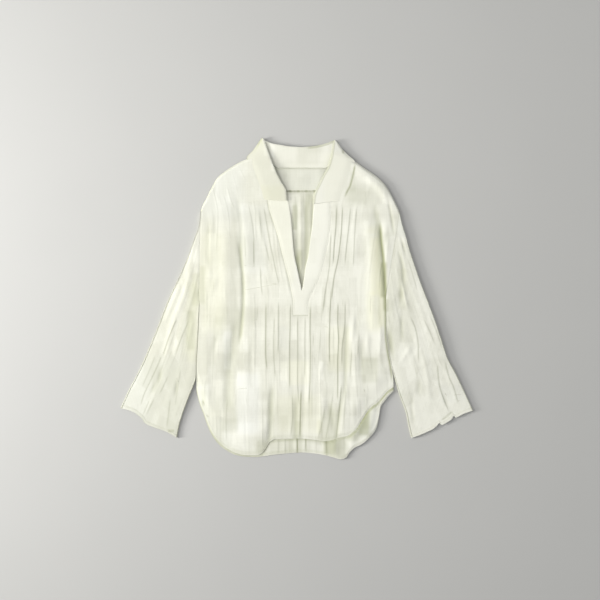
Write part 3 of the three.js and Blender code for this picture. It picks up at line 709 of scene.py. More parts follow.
def pleat(height: float, painted_shade: float, *stations: Point) -> Crease:
    """A pressed pleat through its stations."""
    return Crease(stations, height, 8.0, painted_shade, Form.PLEAT, 16.0)


def fold(height: float, reach: float, painted_shade: float, *stations: Point) -> Crease:
    """A soft fold or trough through its stations."""
    return Crease(stations, height, reach, painted_shade, Form.SOFT, 34.0)


@dataclass(frozen=True)
class TurnedHem:
    """A narrow hem, turned and stitched.

    Attributes:
        width: Its width.
        rise: How far the doubled cloth stands up.
        shade: How deep the painted shade along its stitching is.
        beyond: How far above it that painted shade runs.
        reach: How far that painted shade spreads on each side.
    """

    width: float = 4.5
    rise: float = 0.45
    shade: float = 0.2
    beyond: float = 0.6
    reach: float = 0.9

    def shape(self, above: Array) -> tuple[Array, Array]:
        """Its height and its painted shade at distances above the cloth's edge."""
        dip = self.shade * bump(above - self.width - self.beyond, self.reach)
        return self.rise * bump(above - self.width / 2, self.width / 2), dip


# Soft folds that the solids have too.
MAIN_FOLDS = tuple(
    Crease(((x0, y0), (x1, y1), (x2, y2)), height, reach, 0.0, Form.SOFT, FOLD_FADE)
    for y0, x0, y1, x1, y2, x2, height, reach in (
        (247, -169, 90, -160, -180, -178, 4.2, 16), (200, -112, 22, -108, -215, -121, 3.2, 13),
        (-160, -112, -260, -108, -352, -121, 4.6, 27), (205, 155, 90, 169, -80, 174, 5, 12),
        (196, 199, 124, 203, 40, 196, 4, 7), (-190, 62, -260, 55, -330, 46, 3.4, 8),
        (-170, 104, -250, 106, -330, 100, 3.6, 9), (-40, 128, -180, 134, -300, 120, 3.6, 13),
        (-40, 180, -146, 184, -226, 168, 3.4, 10), (-20, -200, -157, -205, -270, -186, 3.4, 12),
        (214, -188, 112, -196, -10, -199, 2.8, 9),
    )
)
# Pressed pleats of the front: height, painted shade along each pleat's line, and stations.
FRONT_PLEATS = (
    pleat(0.31, 0.46, (88, 214), (86, 166), (82, 122), (80, 78)),
    pleat(0.35, 0.51, (101, 214), (99, 166), (92, 99), (81, 45), (76, -4)),
    pleat(0.26, 0.34, (119, 211), (115, 166), (110, 122), (106, 78)),
    pleat(0.25, 0.31, (133, 211), (128, 144), (125, 72)),
    pleat(0.31, 0.34, (75, 152), (72, 86), (63, 22), (55, -30)),
    pleat(0.37, 0.54, (76, 32), (73, -22), (71, -101), (72, -146)),
    pleat(0.37, 0.54, (91, -2), (90, -45), (92, -90), (90, -140), (90, -230)),
    pleat(0.29, 0.39, (107, -2), (106, -58), (100, -108), (99, -150)),
    pleat(0.32, 0.49, (29, -10), (28, -68), (29, -104), (28, -180), (25, -236)),
    pleat(0.31, 0.36, (0, -34), (0, -112), (0, -184), (4, -240)),
    pleat(0.26, 0.31, (17, -34), (16, -101), (16, -178)),
    pleat(0.19, 0.28, (36, -70), (34, -110)),
    pleat(0.2, 0.28, (63, 8), (54, -38)),
    pleat(0.19, 0.23, (52, -62), (49, -122)),
    pleat(0.22, 0.28, (122, -108), (117, -178)),
    pleat(0.39, 0.8, (8, -200), (6, -260), (5, -314)),
    pleat(0.39, 0.5, (99, -188), (93, -250), (86, -318)),
    pleat(0.35, 0.46, (-16, -5), (-17, -68), (-18, -112), (-18, -200)),
    pleat(0.31, 0.34, (-43, -1), (-43, -68), (-44, -124)),
    pleat(0.32, 0.51, (-71, -5), (-72, -68), (-72, -112), (-69, -160)),
    pleat(0.25, 0.28, (-52, -34), (-54, -112), (-50, -178)),
    pleat(0.26, 0.43, (-99, 141), (-98, 72)),
    pleat(0.26, 0.28, (-76, 211), (-65, 144), (-56, 99), (-41, 30)),
    pleat(0.2, 0.28, (-74, 132), (-62, 80)),
    pleat(0.22, 0.36, (-84, 78), (-82, 34), (-79, 8)),
    pleat(0.19, 0.18, (-111, 218), (-101, 166), (-97, 126)),
    pleat(0.25, 0.28, (-12, -210), (-11, -256), (-16, -310)),
    pleat(0.16, 0.23, (-89, -12), (-93, -52)),
    pleat(0.16, 0.23, (-119, 150), (-117, 88)),
    pleat(0.16, 0.2, (-86, 196), (-82, 160), (-80, 132)),
    pleat(0.25, 0.28, (62, -240), (55, -276), (44, -318)),
    pleat(0.25, 0.28, (80, -208), (72, -264), (62, -318)),
    pleat(0.22, 0.23, (110, -196), (104, -262), (101, -304)),
    pleat(0.19, 0.2, (139, -70), (134, -130)),
)
# Softer folds of the front besides the main ones: height, reach, painted shade and stations.
FRONT_FOLDS = (
    fold(-0.9, 4.4, 0.5, (-130, 140), (-125, 85), (-121, 30), (-121, 0), (-124, -50), (-131, -108)),
    fold(-1.08, 11, 0.23, (-131, -30), (-144, -101), (-153, -162), (-158, -262)),
    fold(-0.54, 6, 0.12, (-135, 246), (-126, 166), (-122, 96)),
    fold(-0.9, 3.6, 0.95, (186, 184), (189, 135), (193, 100), (195.5, 70), (198, 30), (199.5, 5), (198, -20)),
    fold(-0.5, 7, 0.34, (174, 222), (180, 180), (185, 140), (189, 90), (192, 30)),
    fold(-0.5, 6, 0.14, (206, 176), (204, 150), (198, 118)),
    fold(-0.6, 2.4, 0.8, (198.5, 6), (198.5, -72), (202, -108), (209, -146), (215, -192)),
    fold(-0.6, 5, 0.3, (112, -40), (109, -120), (108, -180), (92, -270), (83, -340)),
    # A shallow trough with a painted shadow along it, beside the right collar leaf's free edge.
    Crease(((131.5, 309), (129, 296), (125, 277), (119.5, 257), (111, 240), (107, 228)), -0.3, 2.0, 0.75),
    fold(1.8, 9, 0, (128, 300), (160, 276), (190, 246), (210, 208)),
    fold(-0.59, 3.2, 0.25, (203, 236), (212, 186), (219, 140)),
    fold(-1.0, 7, 0.36, (-53, -180), (-58, -228), (-60, -290), (-64, -345)),
    fold(-0.4, 5, 0.12, (17, -126), (16, -200), (14, -290)),
    fold(-0.5, 7, 0.34, (0, -205), (-3, -260), (-5, -345)),
    fold(-0.72, 7, 0.25, (70, -212), (78, -262), (84, -308)),
    fold(-0.68, 7, 0.17, (147, -80), (144, -130), (143, -186)),
    fold(-0.54, 8, 0.15, (136, -22), (134, -60), (132, -92)),
    fold(0.54, 5, 0, (62, -124), (54, -160), (52, -190)),
    fold(0.72, 6, 0, (161, -60), (160, -96), (158, -126)),
    fold(0.63, 4.5, 0, (186, -44), (188, -90), (186, -136)),
    fold(0.59, 5, 0, (128, -26), (126, -66), (120, -112)),
    fold(-0.54, 5, 0.1, (-197, 190), (-199, 110), (-196, 60)),
    fold(0.59, 6, 0, (-178, 64), (-186, 36), (-192, 10)),
    fold(-0.45, 6, 0.1, (-170, -60), (-183, -96), (-190, -130)),
    fold(0.54, 7, 0, (-90, 214), (-80, 150), (-68, 96)),
    fold(0.45, 7, 0, (-112, 150), (-108, 110), (-108, 74)),
)
# Painted shade over the cloth's left side, nearest the lamps, and painted light over its right side, evening out how
# brightly the lamps light it.
PAINTED_SIDE_LIGHT_AND_SHADE = (
    Patch((-600, -90), (-600, 600), weave_and_light=-0.5, soft=300),
    Patch((110, 600), (-600, 600), weave_and_light=0.3, soft=260),
)
FRONT_PATCHES = (
    Patch((-122, 58), (-12, 35), weave_and_light=0.18, soft=8),
    Patch((-106, -76), (-157, -60), weave_and_light=0.2, soft=12),
    Patch((70, 122), (-160, -60), weave_and_light=-0.2, warm=0.25, soft=14),
    Patch((63, 85), (-110, -76), weave_and_light=-0.2, soft=8),
    Patch((-172, -110), (-280, -175), weave_and_light=0.2, soft=16),
    Patch((166, 190), (10, 140), warm=0.4, soft=14),
    Patch((112, 136), (220, 254), fold=0.12, soft=12),
    Patch((198, 214), (84, 140), weave_and_light=0.4, soft=8),
    Patch((-207, -173), (110, 160), fold=0.05, soft=12),
    Patch((130, 169), (146, 191), fold=0.04, soft=14),
    Patch((63, 86), (-214, -157), fold=0.05, soft=10),
    Patch((188, 201), (6, 84), fold=0.6, warm=0.55, soft=8),
    Patch((194, 206), (-24, 14), fold=0.55, warm=0.3, soft=7),
    Patch((211, 227), (144, 190), fold=0.14, soft=8),
    Patch((-222, -206), (-8, 76), fold=0.24, warm=0.14, soft=10),
    Patch((-216, -196), (-262, -200), fold=0.1, soft=9),
    Patch((-158, -140), (-250, -170), fold=0.06, soft=8),
    Patch((-164, -146), (-156, -70), weave_and_light=0.3, warm=-0.2, soft=7),
    Patch((-150, -128), (-70, -20), fold=0.07, soft=9),
    Patch((-90, -68), (-345, -316), fold=0.2, soft=9),
    Patch((-4, 12), (-322, -272), fold=0.24, soft=9),
    Patch((34, 56), (-270, -214), weave_and_light=0.3, soft=8),
    Patch((119, 133), (243, 288), fold=0.15, soft=9),
    Patch((196, 208), (-18, 10), fold=0.5, warm=0.4, soft=6),
    Patch((158, 176), (20, 150), weave_and_light=0.3, warm=-0.2, soft=9),
    Patch((200, 212), (40, 130), weave_and_light=0.4, soft=7),
    Patch((45, 57), (-300, -268), fold=0.12, warm=0.2, soft=9),
    Patch((194, 209), (112, 153), fold=0.12, soft=9),
    Patch((112, 124), (56, 135), fold=0.06, soft=9),
    Patch((-135, -85), (-300, -165), weave_and_light=0.25, warm=-0.3, soft=16),
    Patch((-130, -66), (60, 215), weave_and_light=0.1, warm=-0.2, soft=18),
    Patch((-221, -205), (-240, -186), fold=0.12, soft=10),
    Patch((167, 182), (-58, 24), weave_and_light=0.3, soft=7),
    Patch((108, 170), (-282, -222), weave_and_light=0.3, soft=14),
    Patch((-112, -64), (-344, -308), fold=0.08, soft=10),
    Patch((50, 76), (-318, -284), fold=0.12, soft=16),
    Patch((-174, -146), (234, 282), fold=0.05, soft=12),
    Patch((-213.5, -208.5), (-235, -226), fold=0.5, soft=3),
    Patch((-203, -197), (-264.5, -260), fold=0.4, soft=3),
    Patch((106, 190), (212, 258), fold=0.15, weave_and_light=-0.16, soft=26),
    Patch((-216, -160), (-70, 150), weave_and_light=0.22, warm=0.25, soft=30),
    Patch((-218, -120), (180, 305), weave_and_light=0.08, warm=-0.3, soft=40),
    Patch((-100, -24), (170, 226), fold=0.05, weave_and_light=-0.08, soft=18),
    Patch((-130, -60), (76, 196), weave_and_light=-0.24, soft=14),
    Patch((158, 190), (-70, 165), fold=0.05, warm=0.41, soft=22),
    Patch((184, 200), (-60, 40), fold=0.05, warm=0.45, soft=12),
    Patch((58, 96), (-330, -245), fold=0.17, warm=0.14, soft=34),
    Patch((-45, 50), (-300, -214), fold=0.04, warm=0.23, soft=24),
    Patch((-187, -167), (-92, -38), fold=0.14, soft=8),
    Patch((146, 182), (-185, -130), fold=0.24, weave_and_light=-0.2, soft=12),
    Patch((-169, -133), (-297, -265), fold=0.14, weave_and_light=-0.3, soft=12),
    Patch((-88, -66), (-292, -225), weave_and_light=0.5, soft=8),
    Patch((-166, -96), (-340, -276), weave_and_light=0.44, warm=-0.09, soft=14),
    Patch((-135, -108), (-200, -158), weave_and_light=0.48, soft=6),
    Patch((-130, -110), (-119, -82), weave_and_light=0.4, soft=7),
    Patch((-97, -83), (-196, -150), weave_and_light=0.28, soft=4),
    Patch((-190, -166), (-262, -180), weave_and_light=0.44, warm=0.09, soft=8),
    Patch((-182, -162), (-118, -80), weave_and_light=0.32, soft=7),
    Patch((50, 59), (-182, -137), weave_and_light=0.64, soft=4),
    Patch((-37, -22), (-180, -140), weave_and_light=0.28, warm=0.14, soft=4),
    Patch((-18, 28), (-190, -136), warm=0.27, soft=10),
    Patch((-18, 0), (-134, -90), weave_and_light=-0.28, soft=4),
    Patch((-44, -18), (-110, -60), weave_and_light=-0.2, warm=-0.14, soft=5),
    Patch((92, 108), (-100, -30), weave_and_light=-0.24, soft=5),
    Patch((104, 160), (60, 160), weave_and_light=0.16, soft=18),
    Patch((140, 170), (-50, 60), weave_and_light=0.28, warm=0.09, soft=16),
    Patch((-212, -150), (-330, -265), weave_and_light=-0.4, fold=0.06, warm=-0.14, soft=16),
    Patch((-222, -196), (-270, -190), weave_and_light=0.24, warm=-0.18, soft=10),
)
BODY_BANDS = (
    (191, 12, -0.22), (160, 14, 0.18), (99, 16, -0.26), (56, 14, 0.2), (12, 22, 0.12), (-27, 12, -0.22),
    (-74, 17, 0.2), (-129, 15, -0.3), (-186, 26, 0.24), (-252, 14, -0.3), (-296, 14, 0.28),
)
# Gathers and folds of the back, as it shows in the V, past the front's hem and at the right slit.
BACK_FOLDS = (
    fold(0.45, 3.5, 0, (-17, 244), (-17, 150), (-16, 30)),
    fold(-0.27, 4.5, 0.25, (-1, 232), (-1, 170), (2, 60)),
    fold(0.45, 3.0, 0, (8, 246), (9, 150), (10, 20)),
    fold(-0.27, 4.5, 0.3, (20, 238), (20, 170), (19, 40)),
    fold(0.45, 3.5, 0, (31, 246), (30, 150), (24, 60)),
    fold(-0.18, 3.0, 0.2, (-11, 215), (-9, 150), (-4, 80)),
    fold(-0.18, 2.5, 0.25, (36, 244), (35, 180), (31, 110)),
    pleat(0.14, 0.28, (13, 244), (13, 190)),
    pleat(0.12, 0.23, (-6, 246), (-5, 205)),
    pleat(0.12, 0.23, (26, 246), (25, 200)),
    pleat(0.7, 1.0, (-1, -290), (-1, -358)),
    pleat(0.5, 0.75, (18, -290), (18, -346)),
    pleat(0.37, 0.28, (-27, -290), (-28, -356)),
    pleat(0.29, 0.2, (-42, -292), (-44, -356)),
    pleat(0.45, 0.43, (63, -292), (66, -360)),
    pleat(0.2, 0.14, (40, -292), (42, -354)),
    fold(1.26, 8.0, 0, (84, -300), (84, -330), (86, -366)),
    fold(-0.32, 7.0, 0.23, (104, -290), (108, -330), (108, -366)),
    fold(1.17, 7.0, 0, (134, -268), (127, -300), (122, -340)),
    fold(-0.32, 6.0, 0.3, (160, -226), (150, -270), (138, -322)),
    fold(0.99, 7.0, 0.05, (176, -218), (168, -266), (156, -318)),
)
BACK_PATCHES = (
    Patch((-20, 11), (-345, -300), fold=0.2, soft=8),
    Patch((60, 88), (-345, -295), fold=0.36, soft=8),
    Patch((116, 142), (-320, -280), fold=0.12, soft=12),
    Patch((137, 162), (-304, -250), fold=0.54, soft=10),
    Patch((112, 136), (-316, -284), fold=0.28, soft=10),
    Patch((170, 190), (-310, -250), weave_and_light=0.9, soft=6),
    Patch((112, 170), (-350, -322), weave_and_light=0.8, soft=6),
    Patch((148, 164), (-290, -248), fold=0.24, soft=7),
    Patch((-10, 0), (158, 215), fold=0.4, soft=5),
    Patch((-4, 5), (62, 100), fold=0.35, soft=5),
    Patch((64, 100), (-349, -314), fold=0.25, soft=8),
    Patch((108, 172), (-344, -312), weave_and_light=0.5, soft=8),
    Patch((19, 34), (80, 240), fold=0.22, weave_and_light=-0.3, soft=7),
    Patch((-2, 12), (20, 112), fold=0.34, soft=9),
    # Painted light in the V's left side, where the shadow of the facing and the collar falls.
    Patch((-20, 4), (100, 240), weave_and_light=0.5, soft=6),
    Patch((-30, 60), (30, 250), fold=0.07, weave_and_light=-0.24, soft=10),
    Patch((-22, 14), (60, 150), fold=0.08, soft=14),
    Patch((118, 178), (-306, -222), fold=0.08, weave_and_light=-0.3, warm=-0.27, soft=14),
    Patch((56, 112), (-356, -306), fold=0.11, weave_and_light=-0.16, soft=14),
    Patch((-60, -10), (-350, -306), fold=0.05, weave_and_light=-0.24, soft=8),
)
FACING_PATCHES = (
    Patch((-70, -8), (40, 250), warm=0.14, soft=14),
    Patch((-70, -14), (120, 250), fold=0.07, soft=20),
    Patch((-42, -6), (26, 116), fold=0.07, soft=14),
    Patch((-60, 80), (-40, 50), weave_and_light=-0.2, soft=20),
    Patch((28, 43), (82, 140), fold=0.05, soft=8),
)
COLLAR_PATCHES = (
    # Painted shade on the left leaf, where it slopes towards the lamps.
    Patch((-116, -20), (208, 288), weave_and_light=-0.75, fold=0.05, soft=10),
    Patch((-116, -60), (288, 356), weave_and_light=-0.75, fold=0.05, soft=10),
    Patch((101, 106), (329, 338), fold=0.5, soft=3),
    Patch((-76, -50), (322, 364), weave_and_light=0.6, soft=10),
    Patch((50, 128), (208, 356), weave_and_light=0.3, soft=12),
    Patch((-92, -30), (215, 256), fold=0.09, warm=0.16, soft=18),
    Patch((20, 62), (210, 330), weave_and_light=0.2, soft=14),
    Patch((60, 140), (215, 330), fold=0.02, warm=0.14, soft=20),
    Patch((-60, 80), (290, 312), fold=0.05, soft=8),
    Patch((0, 60), (304, 350), fold=0.04, weave_and_light=-0.25, soft=14),
)
SLEEVE_MAIN_FOLDS = {
    "left": (
        (0.22, 0.3, 0.02, 0.62, 3.4, 9), (0.52, 0.42, 0.05, 0.98, 4, 10), (0.72, 0.66, 0.25, 1.1, 3.6, 8),
        (0.9, 0.86, 0.3, 0.95, 2.6, 7), (0.14, 0.17, 0.5, 1.1, 3.2, 8),
    ),
    "right": (
        (0.2, 0.16, 0.02, 0.7, 3.6, 8), (0.45, 0.36, 0.02, 1.1, 4.2, 9), (0.66, 0.6, 0.06, 0.9, 3.8, 8),
        (0.88, 0.84, 0.15, 1.1, 3, 7), (0.12, 0.14, 0.6, 1.1, 3.4, 7),
    ),
}
SLEEVE_CREASES = {
    "left": (
        pleat(0.32, 0.43, (-270, -38), (-292, -92), (-304, -130)),
        pleat(0.26, 0.34, (-303, -118), (-315, -148), (-331, -182), (-346, -214), (-354, -240)),
        pleat(0.26, 0.31, (-243, -42), (-260, -83), (-275, -124)),
        pleat(0.22, 0.28, (-289, -166), (-300, -190), (-313, -216)),
        pleat(0.22, 0.28, (-330, -218), (-350, -264)),
        pleat(0.22, 0.28, (-320, -216), (-343, -264)),
        pleat(0.2, 0.26, (-286, -220), (-290, -256), (-295, -292)),
        pleat(0.19, 0.2, (-318, -120), (-334, -160), (-352, -200)),
        pleat(0.16, 0.18, (-262, -150), (-268, -190), (-276, -240)),
        fold(-0.63, 4.5, 0.3, (-304, -146), (-308, -170), (-314, -194)),
        fold(-0.59, 4, 0.28, (-268, -170), (-271, -198), (-275, -224)),
        fold(-0.5, 10, 0.1, (-224, 34), (-236, -12), (-247, -68), (-249, -150)),
        fold(-0.4, 6, 0.14, (-217, 36), (-220, 14), (-224, -8)),
        fold(0.63, 7, 0, (-230, 150), (-250, 22), (-282, -62), (-296, -150)),
        fold(0.54, 5, 0, (-252, 60), (-276, 0), (-300, -60)),
        fold(-0.41, 5, 0.07, (-244, 84), (-262, 40), (-272, 16)),
        fold(-0.45, 4, 0.2, (-312, -176), (-322, -196), (-334, -222)),
    ),
    "right": (
        pleat(0.29, 0.43, (313, -140), (318, -189), (326, -217), (341, -254)),
        pleat(0.29, 0.43, (330, -134), (340, -173), (351, -198), (361, -236)),
        pleat(0.31, 0.36, (252, -34), (266, -70), (271, -108), (271, -142)),
        pleat(0.25, 0.26, (281, -38), (296, -70), (310, -104)),
        pleat(0.2, 0.23, (294, -30), (310, -66), (326, -112)),
        pleat(0.19, 0.2, (246, 96), (258, 58), (270, 16)),
        fold(-0.54, 3, 0.28, (230, 152), (240, 118), (246, 92)),
        fold(-0.68, 4.5, 0.3, (226, 122), (238, 66), (240, 14)),
        fold(-0.81, 5, 0.33, (233, 42), (234, 10), (234, -14)),
        fold(-0.72, 5, 0.28, (235, -24), (235, -60), (237, -104)),
        fold(-0.99, 7, 0.42, (204, -52), (209, -90), (216, -138)),
        fold(-0.59, 6, 0.25, (273, -166), (274, -196), (274, -226)),
        fold(0.72, 4, 0, (234, 58), (242, 10), (252, -32)),
        fold(0.72, 6, 0, (262, -90), (245, -122), (226, -152)),
        fold(0.54, 8, 0, (208, 20), (214, -30), (222, -70)),
        fold(-0.41, 4, 0.15, (262, -196), (258, -240), (264, -286)),
        fold(0.54, 6, 0, (282, -110), (292, -170), (300, -240)),
        fold(-0.45, 5, 0.17, (330, -210), (334, -226), (340, -244)),
        Crease(((351, -249), (337, -261), (324, -271)), -0.4, 1.6, 0.5, Form.SOFT, 4.0),
    ),
}
SLEEVE_PATCHES = {
    "left": (
        Patch((-300, -216), (-120, 120), warm=0.1, weave_and_light=0.3, soft=34),
        Patch((-246, -222), (-140, 40), fold=0.08, warm=0.2, soft=14),
        Patch((-248, -230), (-112, -24), fold=0.27, soft=9),
        Patch((-236, -216), (-12, 60), fold=0.2, warm=0.14, soft=9),
        Patch((-390, -260), (-320, -130), fold=0.1, warm=-0.14, soft=40),
        Patch((-242, -216), (84, 160), weave_and_light=0.4, soft=12),
        Patch((-290, -276), (-297, -291), fold=0.4, soft=3),
        Patch((-292, -232), (-200, -148), fold=0.06, weave_and_light=-0.32, soft=14),
        Patch((-400, -330), (-270, -150), weave_and_light=0.16, warm=-0.14, soft=34),
        Patch((-326, -300), (-206, -150), weave_and_light=-0.32, fold=0.05, soft=8),
        Patch((-292, -262), (-300, -226), weave_and_light=-0.08, fold=0.05, soft=10),
    ),
    "right": (
        Patch((196, 262), (-110, 130), fold=0.07, weave_and_light=-0.2, soft=22),
        Patch((198, 206), (-26, 2), fold=0.3, soft=6),
        Patch((304, 335), (-180, -130), weave_and_light=-0.25, soft=10),
        Patch((232, 268), (-304, -247), weave_and_light=-0.2, soft=14),
        Patch((250, 272), (-214, -180), weave_and_light=-0.25, soft=8),
        Patch((196, 216), (-140, 0), fold=0.1, soft=14),
        Patch((228, 246), (-20, 70), fold=0.09, warm=0.09, soft=8),
        Patch((228, 262), (-150, -96), weave_and_light=0.36, soft=8),
        Patch((262, 290), (-150, -60), weave_and_light=0.24, soft=12),
        Patch((320, 370), (-230, -190), weave_and_light=-0.2, warm=-0.14, soft=16),
        Patch((262, 390), (-310, -216), weave_and_light=0.24, soft=26),
        Patch((222, 250), (140, 215), warm=-0.3, fold=0.14, soft=14),
    ),
}
# Thick yarns woven into the cloth: which piece they are on, and their two ends.
SLUBS = (
    ("front", (-119, 22), (-82, 29)), ("front", (-82, 29), (-44, 36)), ("front", (-56, 37), (-48, 37)),
    ("front", (-212, -228), (-208, -236)), ("front", (-205, -258), (-198, -263)),
    ("front", (-100, 76), (-94, 77)), ("front", (-120, 77), (-114, 78)),
    ("front", (-112, -198), (-134, -200)), ("front", (150, -200), (152, -206)),
    ("front", (-90, -44), (-98, -46)), ("front", (60, -60), (70, -61)),
    ("right", (333, -210), (336, -216)), ("right", (352, -214), (368, -212)),
    ("right", (360, -228), (366, -226)),
    ("left", (-302, -118), (-296, -120)), ("left", (-271, -176), (-266, -184)),
)


# ---------------------------------------------------------------- finishes


class Graph:
    """A material's node graph, with short calls that add nodes and link them."""

    def __init__(self, name: str) -> None:
        """Makes an empty material.

        Args:
            name: The material's name.
        """
        self.material = bpy.data.materials.new(name)
        self.material.use_nodes = True
        self.tree = self.material.node_tree
        self.tree.nodes.clear()
        self.shader = self.add("ShaderNodeBsdfPrincipled")
        output = self.add("ShaderNodeOutputMaterial")
        self.tree.links.new(self.shader.outputs[0], output.inputs[0])

    def add(self, kind: str, inputs: dict | None = None, **settings: object) -> bpy.types.Node:
        """A new node.

        Args:
            kind: Its type.
            inputs: Values or other nodes' outputs for its inputs, by name or number.
            settings: Values for its own properties.

        Returns:
            The node.
        """
        node = self.tree.nodes.new(kind)
        for name, value in settings.items():
            setattr(node, name, value)
        self.feed(node, inputs or {})
        return node

    def feed(self, node: bpy.types.Node, inputs: dict) -> None:
        """Sets or links a node's inputs.

        Args:
            node: The node.
            inputs: Values or other nodes' outputs, by the inputs' names or numbers.
        """
        for key, value in inputs.items():
            if isinstance(value, Socket):
                self.tree.links.new(value, node.inputs[key])
            else:
                node.inputs[key].default_value = value

    def mix(self, share: object, a: object, b: object) -> Socket:
        """The mix of two colours, as an output."""
        inputs = {0: share, 6: a, 7: b}
        return self.add("ShaderNodeMix", inputs, data_type="RGBA", clamp_factor=True).outputs[2]

    def sum(self, how: str, a: object, b: object) -> Socket:
        """The result of a sum on two numbers, as an output."""
        return self.add("ShaderNodeMath", {0: a, 1: b}, operation=how).outputs[0]

    def scaled(self, share: object, low: float, high: float) -> Socket:
        """A share from 0 to 1 as a value from low to high, as an output."""
        return self.add("ShaderNodeMapRange", {0: share, 3: low, 4: high}).outputs[0]


def wave_scale(length: float) -> float:
    """The scale that gives a wave texture's bands a length in metres."""
    return 2 * math.pi / (20 * length)


@dataclass(frozen=True)
class Voile:
    """Crushed voile with a woven shadow check.

    Its colour follows the cloth's painted tones: its painted shade in folds and beside raised edges, how close the
    weave is there, with painted light and shade in places, and how warm it is. Its grain and yarns are in the bump.

    Attributes:
        name: The material's name.
        close: The colour of its closer weave.
        open: The colour of its opener weave.
        deep: The colour of full painted shade in folds and shadows, with the greener tone of several layers lying
            together.
        warm: The colour of its warmer cells.
        cool: The colour of its cooler cells.
        lean: How far its grain leans from straight down, in degrees.
        crush: How strong the finest crinkle is.
        check: How strong the woven check is.
        roughness: The cloth's roughness.
        sheen: How much light its fibres catch at a glancing angle.
    """

    name: str
    close: Tone = (230, 230, 219)
    open: Tone = (206, 206, 192)
    deep: Tone = (150, 154, 120)
    warm: Tone = (234, 233, 202)
    cool: Tone = (228, 231, 232)
    lean: float = 0.0
    crush: float = 1.0
    check: float = 1.0
    roughness: float = 0.88
    sheen: float = 0.12

    YARN = 0.00055  # metres from yarn to yarn
    GRAIN_TONE = 0.22  # how far the fine crinkle changes the weave's tone
    CLOUD_TONE = 0.16
    WARMTH = 0.75  # how much of the warm or the cool colour shows at most
    GRAIN = (620.0, 26.0, 300.0)  # the fine crinkle is long and narrow
    CELLS = (  # the woven check: cell size in metres, and how far its cells differ
        ((0.0135, 0.034, 1.0), 0.10), ((0.0013, 0.041, 1.0), 0.06), ((0.037, 0.0016, 1.0), 0.05),
        ((0.005, 0.019, 1.0), 0.05),
    )

    def cells(self, g: Graph, place: Socket, wander: Socket, size: Triple) -> Socket:
        """A random tone for each cell of a woven check.

        Args:
            g: The material's graph.
            place: The cloth's coordinates.
            wander: A soft noise that makes the cells uneven.
            size: A cell's size.

        Returns:
            The output that gives each cell's tone, from 0 to 1.
        """
        drift = tuple(1.6 * side if side > 0.004 else 0.0006 for side in size[:2]) + (0.0,)
        inputs = {0: wander, 1: drift, 2: place}
        moved = g.add("ShaderNodeVectorMath", inputs, operation="MULTIPLY_ADD").outputs[0]
        cell = g.add("ShaderNodeVectorMath", {0: moved, 1: size}, operation="SNAP").outputs[0]
        return g.add("ShaderNodeTexWhiteNoise", {0: cell}, noise_dimensions="2D").outputs[0]

    def material(self) -> Material:
        """Makes the finish.

        Returns:
            The material.
        """
        g = Graph(self.name)
        place = g.add("ShaderNodeTexCoord").outputs["Object"]
        turned = g.add("ShaderNodeMapping", {0: place, 2: (0, 0, math.radians(self.lean))}).outputs[0]
        grain_place = g.add("ShaderNodeMapping", {0: turned, 3: self.GRAIN}).outputs[0]
        grain = g.add("ShaderNodeTexNoise", {0: grain_place, 2: 1.0, 3: 3.0, 4: 0.6}).outputs[0]
        cloud = g.add("ShaderNodeTexNoise", {0: turned, 2: 46.0, 3: 3.0}).outputs[0]
        woven = [self.cells(g, turned, cloud, size) for size, _ in self.CELLS]

        # The painted tones: painted shade, the weave's tone with painted light and shade in it, and warmth.
        painted = g.add("ShaderNodeAttribute", attribute_name="cloth").outputs[0]
        tones = g.add("ShaderNodeSeparateColor", {0: painted})
        painted_shade_tone, weave_and_light_tone, warm_tone = tones.outputs
        speckle = g.sum("ADD", weave_and_light_tone, g.scaled(grain, -self.GRAIN_TONE, self.GRAIN_TONE))
        speckle = g.sum("ADD", speckle, g.scaled(cloud, -self.CLOUD_TONE, self.CLOUD_TONE))
        for tone, (_, strength) in zip(woven, self.CELLS):
            speckle = g.sum("ADD", speckle, g.scaled(tone, -strength * self.check, strength * self.check))
        colour = g.mix(speckle, linear(*self.open), linear(*self.close))
        warmer = g.scaled(warm_tone, -1.0, 1.0)
        colour = g.mix(g.sum("MULTIPLY", warmer, self.WARMTH), colour, linear(*self.warm))
        colour = g.mix(g.sum("MULTIPLY", warmer, -self.WARMTH), colour, linear(*self.cool))
        # Painted shade turns the colour towards the deep one.
        colour = g.mix(painted_shade_tone, colour, linear(*self.deep))

        waves = {0: turned, 1: wave_scale(self.YARN), 2: 1.5, 4: 2.0}
        warp, weft = (g.add("ShaderNodeTexWave", waves, bands_direction=way).outputs[1] for way in ("X", "Y"))
        yarns = g.add("ShaderNodeBump", {0: 0.3, 1: 0.00006, 2: g.sum("ADD", warp, weft)})
        crinkle = g.add("ShaderNodeBump", {0: 0.5 * self.crush, 1: 0.00025, 2: grain})
        g.feed(crinkle, {"Normal": yarns.outputs[0]})
        g.feed(g.shader, {
            "Base Color": colour, "Roughness": self.roughness, "Normal": crinkle.outputs[0],
            "Sheen Weight": self.sheen, "Sheen Roughness": 0.5, "Specular IOR Level": 0.25,
        })
        return g.material


